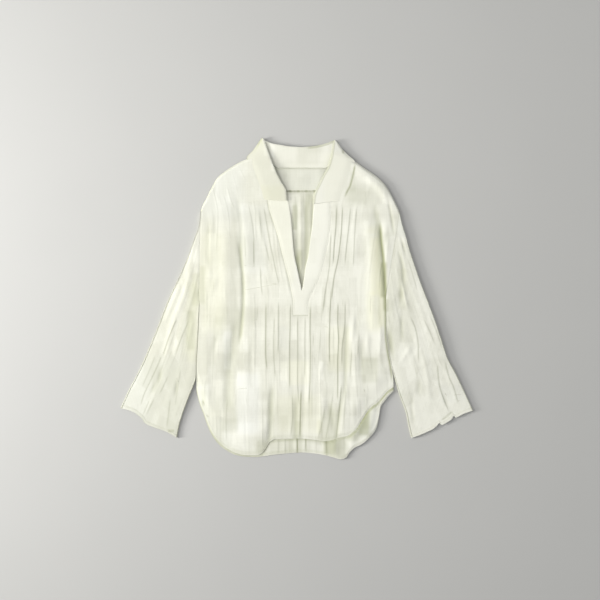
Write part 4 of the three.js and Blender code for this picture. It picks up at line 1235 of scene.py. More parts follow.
@dataclass(frozen=True)
class Thread:
    """Spun sewing thread or a thick yarn of the cloth.

    Attributes:
        name: The material's name.
        colour: Its colour.
        twist: Metres from one turn of its plies to the next.
    """

    name: str
    colour: Tone = (236, 236, 218)
    twist: float = 0.0006

    def material(self) -> Material:
        """Makes the finish.

        Returns:
            The material.
        """
        g = Graph(self.name)
        place = g.add("ShaderNodeTexCoord").outputs["Object"]
        turned = g.add("ShaderNodeMapping", {0: place, 2: (0, 0, math.radians(40))}).outputs[0]
        plies = g.add("ShaderNodeTexWave", {0: turned, 1: wave_scale(self.twist)}).outputs[1]
        # Painted shade: the grooves between the plies are darker.
        darker = tuple(0.8 * channel for channel in linear(*self.colour)[:3]) + (1.0,)
        ridges = g.add("ShaderNodeBump", {0: 0.5, 1: 0.0001, 2: plies}).outputs[0]
        g.feed(g.shader, {
            "Base Color": g.mix(plies, darker, linear(*self.colour)), "Normal": ridges,
            "Roughness": 0.7, "Sheen Weight": 0.2,
        })
        return g.material


@dataclass(frozen=True)
class Paper:
    """The studio floor's matt paper.

    Attributes:
        name: The material's name.
        colour: Its colour.
    """

    name: str = "floor_paper"
    colour: Tone = (183, 183, 181)

    def material(self) -> Material:
        """Makes the finish.

        Returns:
            The material.
        """
        g = Graph(self.name)
        place = g.add("ShaderNodeTexCoord").outputs["Object"]
        mottle = g.add("ShaderNodeTexNoise", {0: place, 2: 5.0, 3: 2.0}).outputs[0]
        lighter = tuple(1.03 * channel for channel in linear(*self.colour)[:3]) + (1.0,)
        g.feed(g.shader, {
            "Base Color": g.mix(mottle, linear(*self.colour), lighter), "Roughness": 0.95,
            "Specular IOR Level": 0.1,
        })
        return g.material


# ---------------------------------------------------------------- cloth as meshes


def grid_quads(ids: Array, closed: bool = False) -> Array:
    """The faces of a grid whose rows run down and columns run to the right.

    Args:
        ids: The point numbers, row by row.
        closed: Whether its last column joins its first.

    Returns:
        Four point numbers for each face, anticlockwise from above.
    """
    if closed:
        ids = np.hstack([ids, ids[:, :1]])
    corners = ids[:-1, :-1], ids[1:, :-1], ids[1:, 1:], ids[:-1, 1:]
    return np.stack([corner.ravel() for corner in corners], -1)


def welded(points: Array, quads: Array) -> tuple[Array, Array]:
    """The same sheet with points that lie together made one."""
    _, first, number = np.unique(np.round(points, 4), axis=0, return_index=True, return_inverse=True)
    return points[first], number.ravel()[quads]


def normals_of(points: Array, quads: Array) -> Array:
    """A sheet's normal at each of its points.

    Args:
        points: The points.
        quads: The faces, anticlockwise from outside.

    Returns:
        The normals, a row each.
    """
    a, b, c, d = (points[quads[:, i]] for i in range(4))
    normals = np.zeros_like(points)
    for i in range(4):
        np.add.at(normals, quads[:, i], np.cross(c - a, d - b))
    return unit(normals)


def shell(points: Array, quads: Array, thickness: Array) -> tuple[Array, Array, Array, Array]:
    """Closes a sheet into a thin shell with a rounded rim.

    Args:
        points: The sheet's outer points, a row each.
        quads: Its faces, anticlockwise from outside.
        thickness: How thick the cloth is at each point.

    Returns:
        The shell's points, its faces, the number of the sheet's point that each point belongs to,
        and the pairs of points on its crisp edges.
    """
    count = len(points)
    thickness = np.broadcast_to(thickness, count)[:, None]
    normals = normals_of(points, quads)
    starts, ends = quads.ravel(), np.roll(quads, -1, axis=1).ravel()
    is_open = ~np.isin(starts * count + ends, ends * count + starts)
    p, q = starts[is_open], ends[is_open]
    along = unit(points[q] - points[p])
    outward = np.zeros_like(points)
    for at in (p, q):
        np.add.at(outward, at, np.cross(along, normals[at]))
    rim = np.unique(np.concatenate([p, q]))
    rim_points = points[rim] + (unit(outward[rim]) - normals[rim]) * thickness[rim] / 2
    rim_of = np.zeros(count, int)
    rim_of[rim] = 2 * count + np.arange(len(rim))
    faces = np.vstack([
        quads,
        quads[:, ::-1] + count,
        np.stack([q, p, rim_of[p], rim_of[q]], -1),
        np.stack([rim_of[q], rim_of[p], p + count, q + count], -1),
    ])
    source = np.concatenate([np.arange(count), np.arange(count), rim])
    crisp = np.vstack([np.stack([p, q], -1), np.stack([p, q], -1) + count])
    return np.vstack([points, points - normals * thickness, rim_points]), faces, source, crisp


def mark_crisp(mesh: bpy.types.Mesh, pairs: Array) -> None:
    """Marks some of a mesh's edges as sharp.

    Args:
        mesh: The mesh.
        pairs: The two point numbers of each such edge.
    """
    ends = np.empty(2 * len(mesh.edges), int)
    mesh.edges.foreach_get("vertices", ends)
    count = len(mesh.vertices)
    keys = [np.sort(edges, axis=1) @ np.array([count, 1]) for edges in (ends.reshape(-1, 2), pairs)]
    sharp = mesh.attributes.new("sharp_edge", "BOOLEAN", "EDGE")
    sharp.data.foreach_set("value", np.isin(keys[0], keys[1]))


def area_of(points: Array, quads: Array) -> float:
    """The area of a sheet, in square metres."""
    a, b, c, d = (points[quads[:, i]] for i in range(4))
    return float(np.linalg.norm(np.cross(c - a, d - b), axis=1).sum() / 2 * MM * MM)


def add_mesh(name: str, points: Array, faces: list, material: Material) -> Piece:
    """Puts a smooth-shaded mesh in the scene.

    Args:
        name: The object's name.
        points: Its points, in the tables' millimetres.
        faces: Its faces' point numbers.
        material: Its finish.

    Returns:
        The object.
    """
    mesh = bpy.data.meshes.new(name)
    mesh.from_pydata(PLACE.metres(points).tolist(), [], faces)
    mesh.shade_smooth()
    mesh.materials.append(material)
    piece = bpy.data.objects.new(name, mesh)
    bpy.context.scene.collection.objects.link(piece)
    return piece


@dataclass
class Cloth:
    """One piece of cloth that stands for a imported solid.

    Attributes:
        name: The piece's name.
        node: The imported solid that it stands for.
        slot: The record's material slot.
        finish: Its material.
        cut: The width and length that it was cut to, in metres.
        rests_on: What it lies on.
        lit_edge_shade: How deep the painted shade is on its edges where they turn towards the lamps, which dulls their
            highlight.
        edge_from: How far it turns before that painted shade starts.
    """

    TURN = 0.42  # how much further it turns until the shade is full

    name: str
    node: str
    slot: str
    finish: Material
    cut: tuple[float, float]
    rests_on: tuple[str, ...] = ()
    lit_edge_shade: float = 0.55
    edge_from: float = 0.1

    def make(self, points: Array, quads: Array, paint: Array, thickness: Array) -> Piece:
        """Makes the piece from its outer surface.

        Args:
            points: The surface's points.
            quads: Its faces, anticlockwise from outside.
            paint: Its tones at each point: painted shade, density and warmth.
            thickness: How thick the cloth is at each point.

        Returns:
            The finished piece, riding on the garment's body.
        """
        shown, faces, source, crisp = shell(points, quads, thickness)
        piece = add_mesh(self.name, shown, faces.tolist(), self.finish)
        mark_crisp(piece.data, crisp)
        tones = np.ones((len(shown), 4), np.float32)
        tones[:, :3] = np.clip(paint[source], 0, 1)
        normals = np.empty(3 * len(shown), np.float32)
        piece.data.vertex_normals.foreach_get("vector", normals)
        # Painted shade on the edges that turn towards the lamps on the left.
        turned = smoothstep((-normals[0::3] - self.edge_from) / self.TURN)
        tones[:, 0] = screen(tones[:, 0], self.lit_edge_shade * turned)
        painted = piece.data.attributes.new("cloth", "FLOAT_COLOR", "POINT")
        painted.data.foreach_set("color", tones.ravel())
        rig.ride(piece, "root")
        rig.replaces(piece, self.node)
        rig.slot(piece, self.slot)
        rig.sheet(piece, flat=self.cut, held="laid", rests_on=self.rests_on, area=area_of(points, quads))
        LOG.info("%s: %d faces, %.3f square metres of cloth", self.name, len(faces), area_of(points, quads))
        return piece


def paint_of(painted_shade: Array, density: Array, patches: Sequence[Patch], x: Array, y: Array) -> Array:
    """A piece's painted tones, painted shade among them.

    Args:
        painted_shade: How deep the painted shade is at each point.
        density: How close the weave is there.
        patches: The patches where the tones differ.
        x, y: The points.

    Returns:
        Painted shade, density and warmth at each point; the patches add painted light and shade to the density. Warmth
        is 0.5 where the cloth is neither warm nor cool.
    """
    warmth = np.full_like(x, 0.5)
    for patch in (*PAINTED_SIDE_LIGHT_AND_SHADE, *patches):
        cover = patch.cover(x, y)
        painted_shade = screen(painted_shade, patch.fold * cover)
        density = density + patch.weave_and_light * cover
        warmth = warmth + 0.5 * patch.warm * cover
    return np.stack([painted_shade, density, warmth], -1)


def eased(values: Array, reach: int) -> Array:
    """A smooth row of values that stays above the given one.

    Args:
        values: The row.
        reach: How many places before and after each one it takes in.

    Returns:
        The running mean of its running maximum.
    """
    window = 2 * reach + 1
    padded = np.pad(values, window - 1, mode="edge")
    highest = np.lib.stride_tricks.sliding_window_view(padded, window).max(-1)
    return np.convolve(highest, np.full(window, 1 / window), mode="valid")


def seam_dashes(x: Array) -> Array:
    """How deep a gathered seam is pinched at each x, and how deep its painted shade is: more between its small
    gathers.
    """
    return 0.35 + 0.65 * smoothstep(0.5 + 0.9 * np.sin(x / 1.9) * np.sin(x / 5.3 + 1.0))


# ---------------------------------------------------------------- the body


@dataclass
class Body:
    """The tunic's body: the front and the back below its yoke.

    Attributes:
        finish: The body's voile.
        roll: How far in from an edge the cloth starts to turn down.
        armhole_roll: The same at the armholes.
        calm: How far in from an edge the creases start.
        side_edge: The front's height along the shoulders and by the slits.
        underarm_edge: Its height along the side seams, beside the sleeves.
        armhole_edge: Its height along the armholes.
        hem_edge: Its height along its hem, where it lies on the back.
        back_edge: The back's height along its own edges.
        v_fill: How far the back rises behind the V.
        corner_curl: How far the back's right corner curls up past the front.
        hidden_rise: The highest fold of the back where the front lies on it.
        deepest: The deepest fold of the back.
        facing_sink: How far the front is pressed in under the facing.
        shoulder_rise: How much higher than the other the right shoulder's edge stands.
        seam_cloth: How thick the cloth is at the armhole seams.
        front_turn: The front's turned hem.
        back_turn: The back's turned hem.
        front_grid: The columns of the left and right halves, and the rows.
        back_grid: The columns and rows of the back.
    """

    finish: Material
    roll: float = 2.0
    armhole_roll: float = 6.0
    calm: float = 7.0
    side_edge: float = 3.8
    underarm_edge: float = 5.5
    armhole_edge: float = 5.7
    hem_edge: float = 2.4
    back_edge: float = 1.0
    v_fill: float = 3.9
    corner_curl: float = 2.6
    hidden_rise: float = 0.9
    deepest: float = -0.7
    facing_sink: float = 0.34
    shoulder_rise: float = 3.0
    seam_cloth: float = 0.08
    front_turn: TurnedHem = TurnedHem(shade=0.16)
    back_turn: TurnedHem = TurnedHem()
    front_grid: tuple[int, int, int] = (185, 168, 118)
    back_grid: tuple[int, int] = (230, 118)

    def __post_init__(self) -> None:
        """Fits the outlines and scatters the fine creases."""
        self.left, self.right = column(SIDES, 1), column(SIDES, 2)
        self.neck_left, self.neck_right = column(NECKLINE, 1), column(NECKLINE, 2)
        self.facing_left, self.facing_right = column(FACING, 1), column(FACING, 2)
        self.shoulder_left, self.shoulder_right = Curve(SHOULDER_LEFT), Curve(SHOULDER_RIGHT)
        self.tip_left, self.tip_right = Curve(flipped(SHOULDER_LEFT)), Curve(flipped(SHOULDER_RIGHT))
        self.hem_front, self.hem_back = column(HEM, 1), column(HEM, 2)
        self.halves = (
            self.half(self.left, self.neck_left, self.shoulder_left, HEM[0]),
            self.half(self.right, self.neck_right, self.shoulder_right, HEM[-1]),
        )
        self.back = self.back_shape()
        self.front_creases = [
            *FRONT_PLEATS, *FRONT_FOLDS,
            *Crinkle(11, 150).creases(self.halves[0]), *Crinkle(12, 150).creases(self.halves[1]),
        ]
        self.back_creases = [*BACK_FOLDS, *Crinkle(13, 220).creases(self.back)]

    def half(self, side: Curve, neck: Curve, shoulder: Curve, slit: Sequence[float]) -> Panel:
        """One half of the front, from its side seam to the middle.

        Args:
            side: The side edge's x at each y.
            neck: The inner edge's x at each y.
            shoulder: The shoulder line's y at each x.
            slit: The row of the hem's table at the side slit.

        Returns:
            The half as a panel.
        """
        tip_x, neck_x = float(side(SHOULDER_TIP_Y)), float(neck(NECK_TOP_Y))
        return Panel(
            edge_line(tip_x, neck_x, shoulder),
            edge_line(slit[0], V_POINT[0], self.hem_front),
            edge_line(SHOULDER_TIP_Y, slit[1], side, runs_down=True),
            edge_line(NECK_TOP_Y, HEM_MID_Y, neck, runs_down=True),
        )

    def back_shape(self) -> Panel:
        """The back's outline below its yoke.

        Returns:
            The back as a panel.
        """
        def edge(side: Curve, tip: Curve, y: Array) -> Array:
            """An edge's x at each y, up past the shoulder's tip."""
            return np.where(y > SHOULDER_TIP_Y, tip(y), side(y))

        top_y = YOKE_SEAM_Y - SEAM
        left, right = partial(edge, self.left, self.tip_left), partial(edge, self.right, self.tip_right)
        ends = float(left(top_y)), float(right(top_y))
        return Panel(
            edge_line(*ends, Curve([(end, top_y) for end in ends])),
            edge_line(HEM[0][0], HEM[-1][0], self.hem_back),
            edge_line(top_y, HEM[0][2], left, runs_down=True),
            edge_line(top_y, HEM[-1][2], right, runs_down=True),
        )

    def shoulder(self, x: Array) -> Array:
        """The shoulder line's y over each x."""
        return np.where(x < 0, self.shoulder_left(x), self.shoulder_right(x))

    def from_sides(self, x: Array, y: Array) -> Array:
        """How far each point lies in from the nearer side or shoulder."""
        across = np.minimum(x - self.left(y), self.right(y) - x)
        return np.minimum(across, 0.75 * (self.shoulder(x) - y))

    def front_rest(self, x: Array, y: Array) -> Array:
        """The front's underside without its pleats, which is what the facing lies on.

        Args:
            x, y: The points.

        Returns:
            Its height at each point.
        """
        in_top = smoothstep((self.shoulder(x) - y) / LOFT_REACH["top"])
        in_hem = smoothstep((y - self.hem_front(x)) / LOFT_REACH["hem"])
        (middle_x, middle_y), (reach_x, reach_y) = V_LIFT_CENTRE, V_LIFT_REACH
        lift = V_LIFT * bump(x - middle_x, reach_x) * bump(y - middle_y, reach_y)
        folds, _ = relief(MAIN_FOLDS, x, y)
        return FRONT_BASE + BODY_LOFT * in_top * in_hem + lift + FOLD_SHARE * folds

    def beside_arm(self, y: Array) -> Array:
        """1 along the armholes, 0 below and above them."""
        return ramp(y, (UNDERARM_Y, UNDERARM_Y + 20)) * ramp(y, SHOULDER_END_Y)

    def neck_fill(self, x: Array) -> Array:
        """How far the back and the yoke rise towards the middle of the neck."""
        return self.v_fill * ramp(np.abs(x - NECK_MIDDLE_X), NECK_FILL_SPAN)

    def off_facing(self, x: Array, y: Array) -> Array:
        """How far each point lies outside the facing."""
        return np.maximum(np.maximum(self.facing_left(y) - x, x - self.facing_right(y)), FACING[-1][0] - y)

    def bare(self, x: Array, y: Array) -> Array:
        """Where the front is bare.

        Args:
            x, y: The points.

        Returns:
            1 where it is bare, 0 where the facing or the collar lies on it.
        """
        off_facing = smoothstep(self.off_facing(x, y) / 3.0)
        under_collar = ramp(y, COLLAR_REST_Y) * ramp(np.abs(x - COLLAR_MIDDLE_X), COLLAR_REST_SPAN)
        return off_facing * (1 - under_collar)

    def front_surface(self, x: Array, y: Array) -> tuple[Array, Array]:
        """The front's upper surface.

        Args:
            x, y: The points.

        Returns:
            Its height and its painted shade at each point.
        """
        rise, painted_shade = relief(self.front_creases, x, y)
        inside, above_hem = self.from_sides(x, y), y - self.hem_front(x)
        calm = smoothstep(inside / self.calm) * smoothstep(above_hem / self.calm)
        under_facing = 1 - smoothstep(self.off_facing(x, y) / 1.6)
        full = self.front_rest(x, y) + WALL + rise * self.bare(x, y) * calm - self.facing_sink * under_facing
        beside_arm = self.beside_arm(y)
        beside_sleeve = ramp(y, BESIDE_SLEEVE_Y) * ramp(y, SHOULDER_END_Y)
        raised = self.shoulder_rise * ramp(x, RAISED_X) * ramp(y, RAISED_Y)
        side_edge = lerp(self.side_edge, self.underarm_edge, beside_sleeve) + raised
        side_edge = lerp(side_edge, self.armhole_edge, beside_arm)
        height = lerp(side_edge, full, rounded(inside / lerp(self.roll, self.armhole_roll, beside_arm)))
        height = np.minimum(height, lerp(self.hem_edge, full, smoothstep(above_hem / self.calm)))
        hem, dip = self.front_turn.shape(above_hem)
        return height + hem * smoothstep(inside / 4), screen(painted_shade, dip)

    def back_surface(self, x: Array, y: Array) -> tuple[Array, Array]:
        """The back's upper surface, pinched along the yoke seam, with painted shade in that seam and a painted shadow
        under the front's hem.

        Args:
            x, y: The points.

        Returns:
            Its height and its painted shade at each point.
        """
        rise, painted_shade = relief(self.back_creases, x, y)
        above_hem, above_front = y - self.hem_back(x), y - self.hem_front(x)
        inside = np.minimum(self.from_sides(x, y), above_hem)
        hidden = smoothstep(self.bare(x, y) * above_front / 12)
        rise = np.maximum(np.minimum(rise, lerp(rise, self.hidden_rise, hidden)), self.deepest)
        lift = self.neck_fill(x) * ramp(y, BEHIND_V_Y) * ramp(y, BELOW_SEAM_Y)
        corner = self.corner_curl * ramp(x, CURLED_X) * ramp(above_front, PAST_HEM)
        full = WALL + lift + corner + rise * smoothstep(inside / self.calm)
        pinch = bump(y - YOKE_SEAM_Y, 2.2) * seam_dashes(x)
        height = lerp(self.back_edge + 0.8 * corner, full, smoothstep(inside / self.roll)) - 0.5 * pinch
        hem, dip = self.back_turn.shape(above_hem)
        # Painted shadow of the front's hem on the back, deepest towards the right.
        hem_shadow = lerp(0.5, 0.95, ramp(x, SHADED_X)) * bump(above_front + 2.0, 4.0)
        return height + hem, screen(screen(painted_shade, screen(0.85 * pinch, hem_shadow)), dip)

    def build_front(self) -> Piece:
        """Makes the front in one piece, slit down the V.

        Returns:
            The front.
        """
        left_count, right_count, row_count = self.front_grid
        height_of_front = NECK_TOP_Y - HEM_MID_Y
        v_down = (NECK_TOP_Y - V_POINT[1]) / height_of_front
        slit_rows = round(row_count * v_down)
        edge, side = EDGE_STEPS / height_of_front, EDGE_STEPS / (self.right(0.0) - V_POINT[0])
        downs = np.concatenate([
            edge, np.linspace(edge[-1], v_down, slit_rows + 1)[1:],
            np.linspace(v_down, 1, row_count - slit_rows + 1)[1:],
        ])[:, None]
        left, right = (
            half(np.concatenate([side, np.linspace(side[-1], 1, count + 1)[1:]])[::way], downs)
            for half, count, way in zip(self.halves, (left_count, right_count), (1, -1))
        )
        flat = np.vstack([left.reshape(-1, 2), right.reshape(-1, 2)])
        ids = np.arange(len(flat))
        split = left.shape[0] * left.shape[1]
        left_quads = grid_quads(ids[:split].reshape(left.shape[:2]))
        flat, quads = welded(flat, np.vstack([left_quads, grid_quads(ids[split:].reshape(right.shape[:2]))]))
        x, y = flat.T
        height, painted_shade = self.front_surface(x, y)
        check = ShadowCheck(5, bands=BODY_BANDS).density(x, y, y)
        at_seam = self.beside_arm(y) * (1 - smoothstep(self.from_sides(x, y) / 4))
        under = ("back_panel", "back_yoke")
        piece = Cloth("front_cloth", "front_panel", "voile_body", self.finish, (0.60, 0.68), under)
        return piece.make(
            np.column_stack([flat, height]), quads, paint_of(painted_shade, check, FRONT_PATCHES, x, y),
            lerp(CLOTH, self.seam_cloth, at_seam),
        )

    def build_back(self) -> Piece:
        """Makes the back below its yoke.

        Returns:
            The back.
        """
        columns, rows = self.back_grid
        grid = self.back(np.linspace(0, 1, columns + 1), np.linspace(0, 1, rows + 1)[:, None])
        x, y = grid.reshape(-1, 2).T
        height, painted_shade = self.back_surface(x, y)
        check = ShadowCheck(6, bands=BODY_BANDS).density(x, y, y)
        piece = Cloth("back_cloth", "back_panel", "voile_body", self.finish, (0.60, 0.62))
        quads = grid_quads(np.arange(len(x)).reshape(rows + 1, columns + 1))
        paint = paint_of(painted_shade, check, BACK_PATCHES, x, y)
        return piece.make(np.column_stack([x, y, height]), quads, paint, np.array(CLOTH))


@dataclass
class Yoke:
    """The plain yoke between the shoulder lines, the back neck seam and the yoke seam.

    Attributes:
        body: The body that it is sewn to.
        columns: Its columns.
        rows: Its rows.
        inset: How far in from the shoulder lines it ends.
        seam_rise: How far its turned edge stands up beside the yoke seam.
        seam_line: How far above the seam that edge is stitched.
        wave: How far its surface waves.
        sunk: How much of the neck's fill is left at the back neck seam.
        sinking: Where it sinks to that.
        neck_seam_y: Where the shade of the collar's seam lies.
    """

    body: Body
    columns: int = 190
    rows: int = 26
    inset: float = 3.0
    seam_rise: float = 0.4
    seam_line: float = 3.2
    wave: float = 0.12
    sunk: float = 0.6
    sinking: Point = (252.0, 282.0)
    neck_seam_y: float = 296.0

    def build(self) -> Piece:
        """Makes the yoke.

        Returns:
            The yoke.
        """
        top = Curve([*SHOULDER_LEFT, *BACK_NECK[1:], *SHOULDER_RIGHT[1:]])
        left = float(self.body.tip_left(YOKE_SEAM_Y)) + self.inset
        right = float(self.body.tip_right(YOKE_SEAM_Y)) - self.inset
        across = np.linspace(left, right, self.columns + 1)
        ids = np.arange((self.rows + 1) * (self.columns + 1)).reshape(self.rows + 1, self.columns + 1)
        x = np.tile(across, (self.rows + 1, 1)).ravel()
        y = lerp(top(across), YOKE_SEAM_Y, np.linspace(0, 1, self.rows + 1)[:, None]).ravel()
        inside = np.minimum(top(x) - y, np.minimum(x - left, right - x))
        above_seam = y - YOKE_SEAM_Y
        turned = self.seam_rise * bump(above_seam - self.seam_line, 2.0)
        pinch = bump(above_seam, 1.4) * seam_dashes(x)
        wave = self.wave * np.sin(x / 9.0 + 0.6 * np.sin(x / 23.0)) * smoothstep(above_seam / 20)
        full = WALL + self.body.neck_fill(x) * lerp(1.0, self.sunk, ramp(y, self.sinking))
        edge = self.body.back_edge
        height = lerp(edge, full, smoothstep(inside / self.body.roll)) + turned - 0.5 * pinch + wave
        # Painted shade: in the pinched yoke seam, along the collar's seam and a little over the whole yoke.
        painted_shade = screen(0.8 * pinch, 0.12 + 0.25 * bump(y - self.neck_seam_y, 3.0))
        cool = (Patch((-80, 100), (240, 310), warm=-0.14, soft=10),)
        paint = paint_of(painted_shade, 0.42 + 0.1 * np.sin(x / 31.0), cool, x, y)
        piece = Cloth("yoke_cloth", "back_yoke", "voile_body", self.body.finish, (0.42, 0.085))
        return piece.make(np.column_stack([x, y, height]), grid_quads(ids), paint, np.array(CLOTH))


@dataclass
class Facing:
    """The smooth facing round the V, which ends in a squared tab.

    Attributes:
        body: The body that it lies on.
        finish: Its voile.
        columns: Columns of each half.
        rows: Its rows.
        stitch_inset: How far in from its outer edge it is stitched.
        lie: How far above the front it lies.
        cloth: How thick it is.
        pressed: How thick it is at its edges.
        pressed_reach: How far in from its edges it is thinner.
    """

    body: Body
    finish: Material
    columns: int = 38
    rows: int = 130
    stitch_inset: float = 3.2
    lie: float = 0.1
    cloth: float = 0.42
    pressed: float = 0.26
    pressed_reach: float = 9.0

    def from_edge(self, x: Array, y: Array) -> Array:
        """How far each point lies in from the facing's outer edge."""
        across = np.minimum(x - self.body.facing_left(y), self.body.facing_right(y) - x)
        return np.minimum(across, y - FACING[-1][0])

    def thickness(self, x: Array, y: Array) -> Array:
        """How thick it is at each point: thinner at its pressed edges."""
        return lerp(self.pressed, self.cloth, smoothstep(self.from_edge(x, y) / self.pressed_reach))

    def surface(self, x: Array, y: Array) -> tuple[Array, Array]:
        """Its upper surface.

        Args:
            x, y: The points.

        Returns:
            Its height and its painted shade at each point: faint along its stitching, and a line along the foot of its
            tab.
        """
        rest = self.body.front_rest(x, y) + WALL + self.lie + self.thickness(x, y) - self.body.facing_sink
        outer = self.from_edge(x, y)
        inner = np.maximum(self.body.neck_left(y) - x, x - self.body.neck_right(y))
        inner = np.where(y > V_POINT[1], inner, np.inf)
        stitched = bump(outer - self.stitch_inset, 0.8)
        wave = 0.15 * (1 + np.sin(y / 17.0 + x / 40.0)) * smoothstep(outer / 10)
        # Painted shade along the foot of the tab.
        end = bump(y - FACING[-1][0], 1.6)
        return rest + wave - 0.3 * (1 - smoothstep(inner / 1.8)), screen(0.06 * stitched, 0.5 * end)

    def build(self) -> Piece:
        """Makes the facing in one piece, slit down the V.

        Returns:
            The facing.
        """
        top, bottom = FACING[0][0], FACING[-1][0]
        slit_rows = round(self.rows * (top - V_POINT[1]) / (top - bottom))
        ys = np.concatenate([
            np.linspace(top, V_POINT[1], slit_rows + 1),
            np.linspace(V_POINT[1], bottom, self.rows - slit_rows + 1)[1:],
        ])[:, None]
        share = np.linspace(0, 1, self.columns + 1)
        left = lerp(self.body.facing_left(ys), self.body.neck_left(ys), share)
        right = lerp(self.body.neck_right(ys), self.body.facing_right(ys), share)
        plans = (np.stack([x, np.broadcast_to(ys, x.shape)], -1) for x in (left, right))
        flat = np.vstack([plan.reshape(-1, 2) for plan in plans])
        ids = np.arange(left.size).reshape(left.shape)
        flat, quads = welded(flat, np.vstack([grid_quads(ids), grid_quads(ids + left.size)]))
        x, y = flat.T
        height, painted_shade = self.surface(x, y)
        piece = Cloth(
            "facing_cloth", "placket_facing", "facing", self.finish, (0.17, 0.29), ("front_panel",),
            lit_edge_shade=0.8,
        )
        paint = paint_of(painted_shade, 0.95 + 0.05 * np.sin(y / 33.0), FACING_PATCHES, x, y)
        return piece.make(np.column_stack([flat, height]), quads, paint, self.thickness(x, y))


# ---------------------------------------------------------------- the collar


@dataclass(frozen=True)
class Section:
    """One section of the collar, each point in the middle of the cloth.

    Attributes:
        fold: The point on its folded edge.
        free: The point on its free edge.
        turn: The hidden end of the turn.
    """

    fold: Triple
    free: Triple
    turn: Triple


LEAF_LEFT = (
    Section((-22, 223, 9.5), (-81, 226, 7), (-36, 227, 8.2)),
    Section((-23.5, 245, 11), (-86.5, 245, 6.6), (-40.5, 254, 7.4)),
    Section((-34, 264.5, 13.5), (-93.5, 266.5, 6.2), (-54, 270, 6.4)),
    Section((-44, 283, 14), (-100, 286, 6), (-65, 286, 6)),
    Section((-52, 301.5, 13.5), (-107, 304, 5.6), (-70, 301.5, 5.6)),
    Section((-59, 320, 10.5), (-113, 319.5, 4.6), (-72, 315, 5.2)),
    Section((-65.5, 338.5, 8.4), (-99, 336.5, 3), (-76.5, 335, 4.4)),
    Section((-71, 354.5, 7), (-87.5, 353, 3), (-77.5, 352, 3.6)),
    Section((-75.5, 363.5, 6), (-80.5, 363, 3), (-77.4, 361, 3.2)),
)
LEAF_RIGHT = (
    Section((35, 216, 10), (106, 224, 8.2), (49.5, 220.5, 8.2)),
    Section((38, 236, 11), (109, 238.5, 9.4), (56, 247.5, 7.4)),
    Section((48, 259, 13), (119, 257.5, 9.6), (67.5, 265.5, 6.4)),
    Section((57.5, 278.5, 13.5), (123.5, 277, 9), (76.5, 282.5, 6)),
    Section((69, 299, 13), (127, 296, 7.6), (84.5, 299, 5.6)),
    Section((76, 322, 11), (129.5, 311, 6), (88, 315, 5.2)),
    Section((79, 337.5, 10), (113, 327, 5.8), (88, 331, 5)),
    Section((81, 350, 8.6), (97.5, 344, 5.6), (87, 346, 4.4)),
    Section((83, 359, 7), (89, 357, 5), (85.4, 356.4, 3.6)),
)
COLLAR_BACK = (
    Section((-75.5, 360.5, 6.4), (-61, 307, 3.6), (-102.5, 323.5, 0.65)),
    Section((-67.5, 356.5, 7.4), (-54, 304, 3.6), (-79, 326.5, 0.65)),
    Section((-53, 351.5, 8), (-42, 297, 3.2), (-61, 311, 0.65)),
    Section((-38, 349, 8), (-31, 296, 3), (-40, 302.5, 0.65)),
    Section((-16, 345.5, 8), (-13.5, 295.5, 2.7), (-16, 301.5, 0.65)),
    Section((11, 344, 8), (11, 295.5, 2.7), (11, 301.5, 0.65)),
    Section((38, 346, 8), (38, 295.5, 2.7), (38, 301.5, 0.65)),
    Section((56, 349.5, 7.6), (53, 296, 2.7), (58, 302, 0.65)),
    Section((70, 353.5, 7), (64, 297.5, 2.7), (74, 313, 0.65)),
    Section((77.5, 357, 6), (74, 304, 2.8), (90, 326.5, 0.65)),
    Section((83, 358.5, 5), (80, 307, 2.8), (109, 325.5, 0.65)),
)


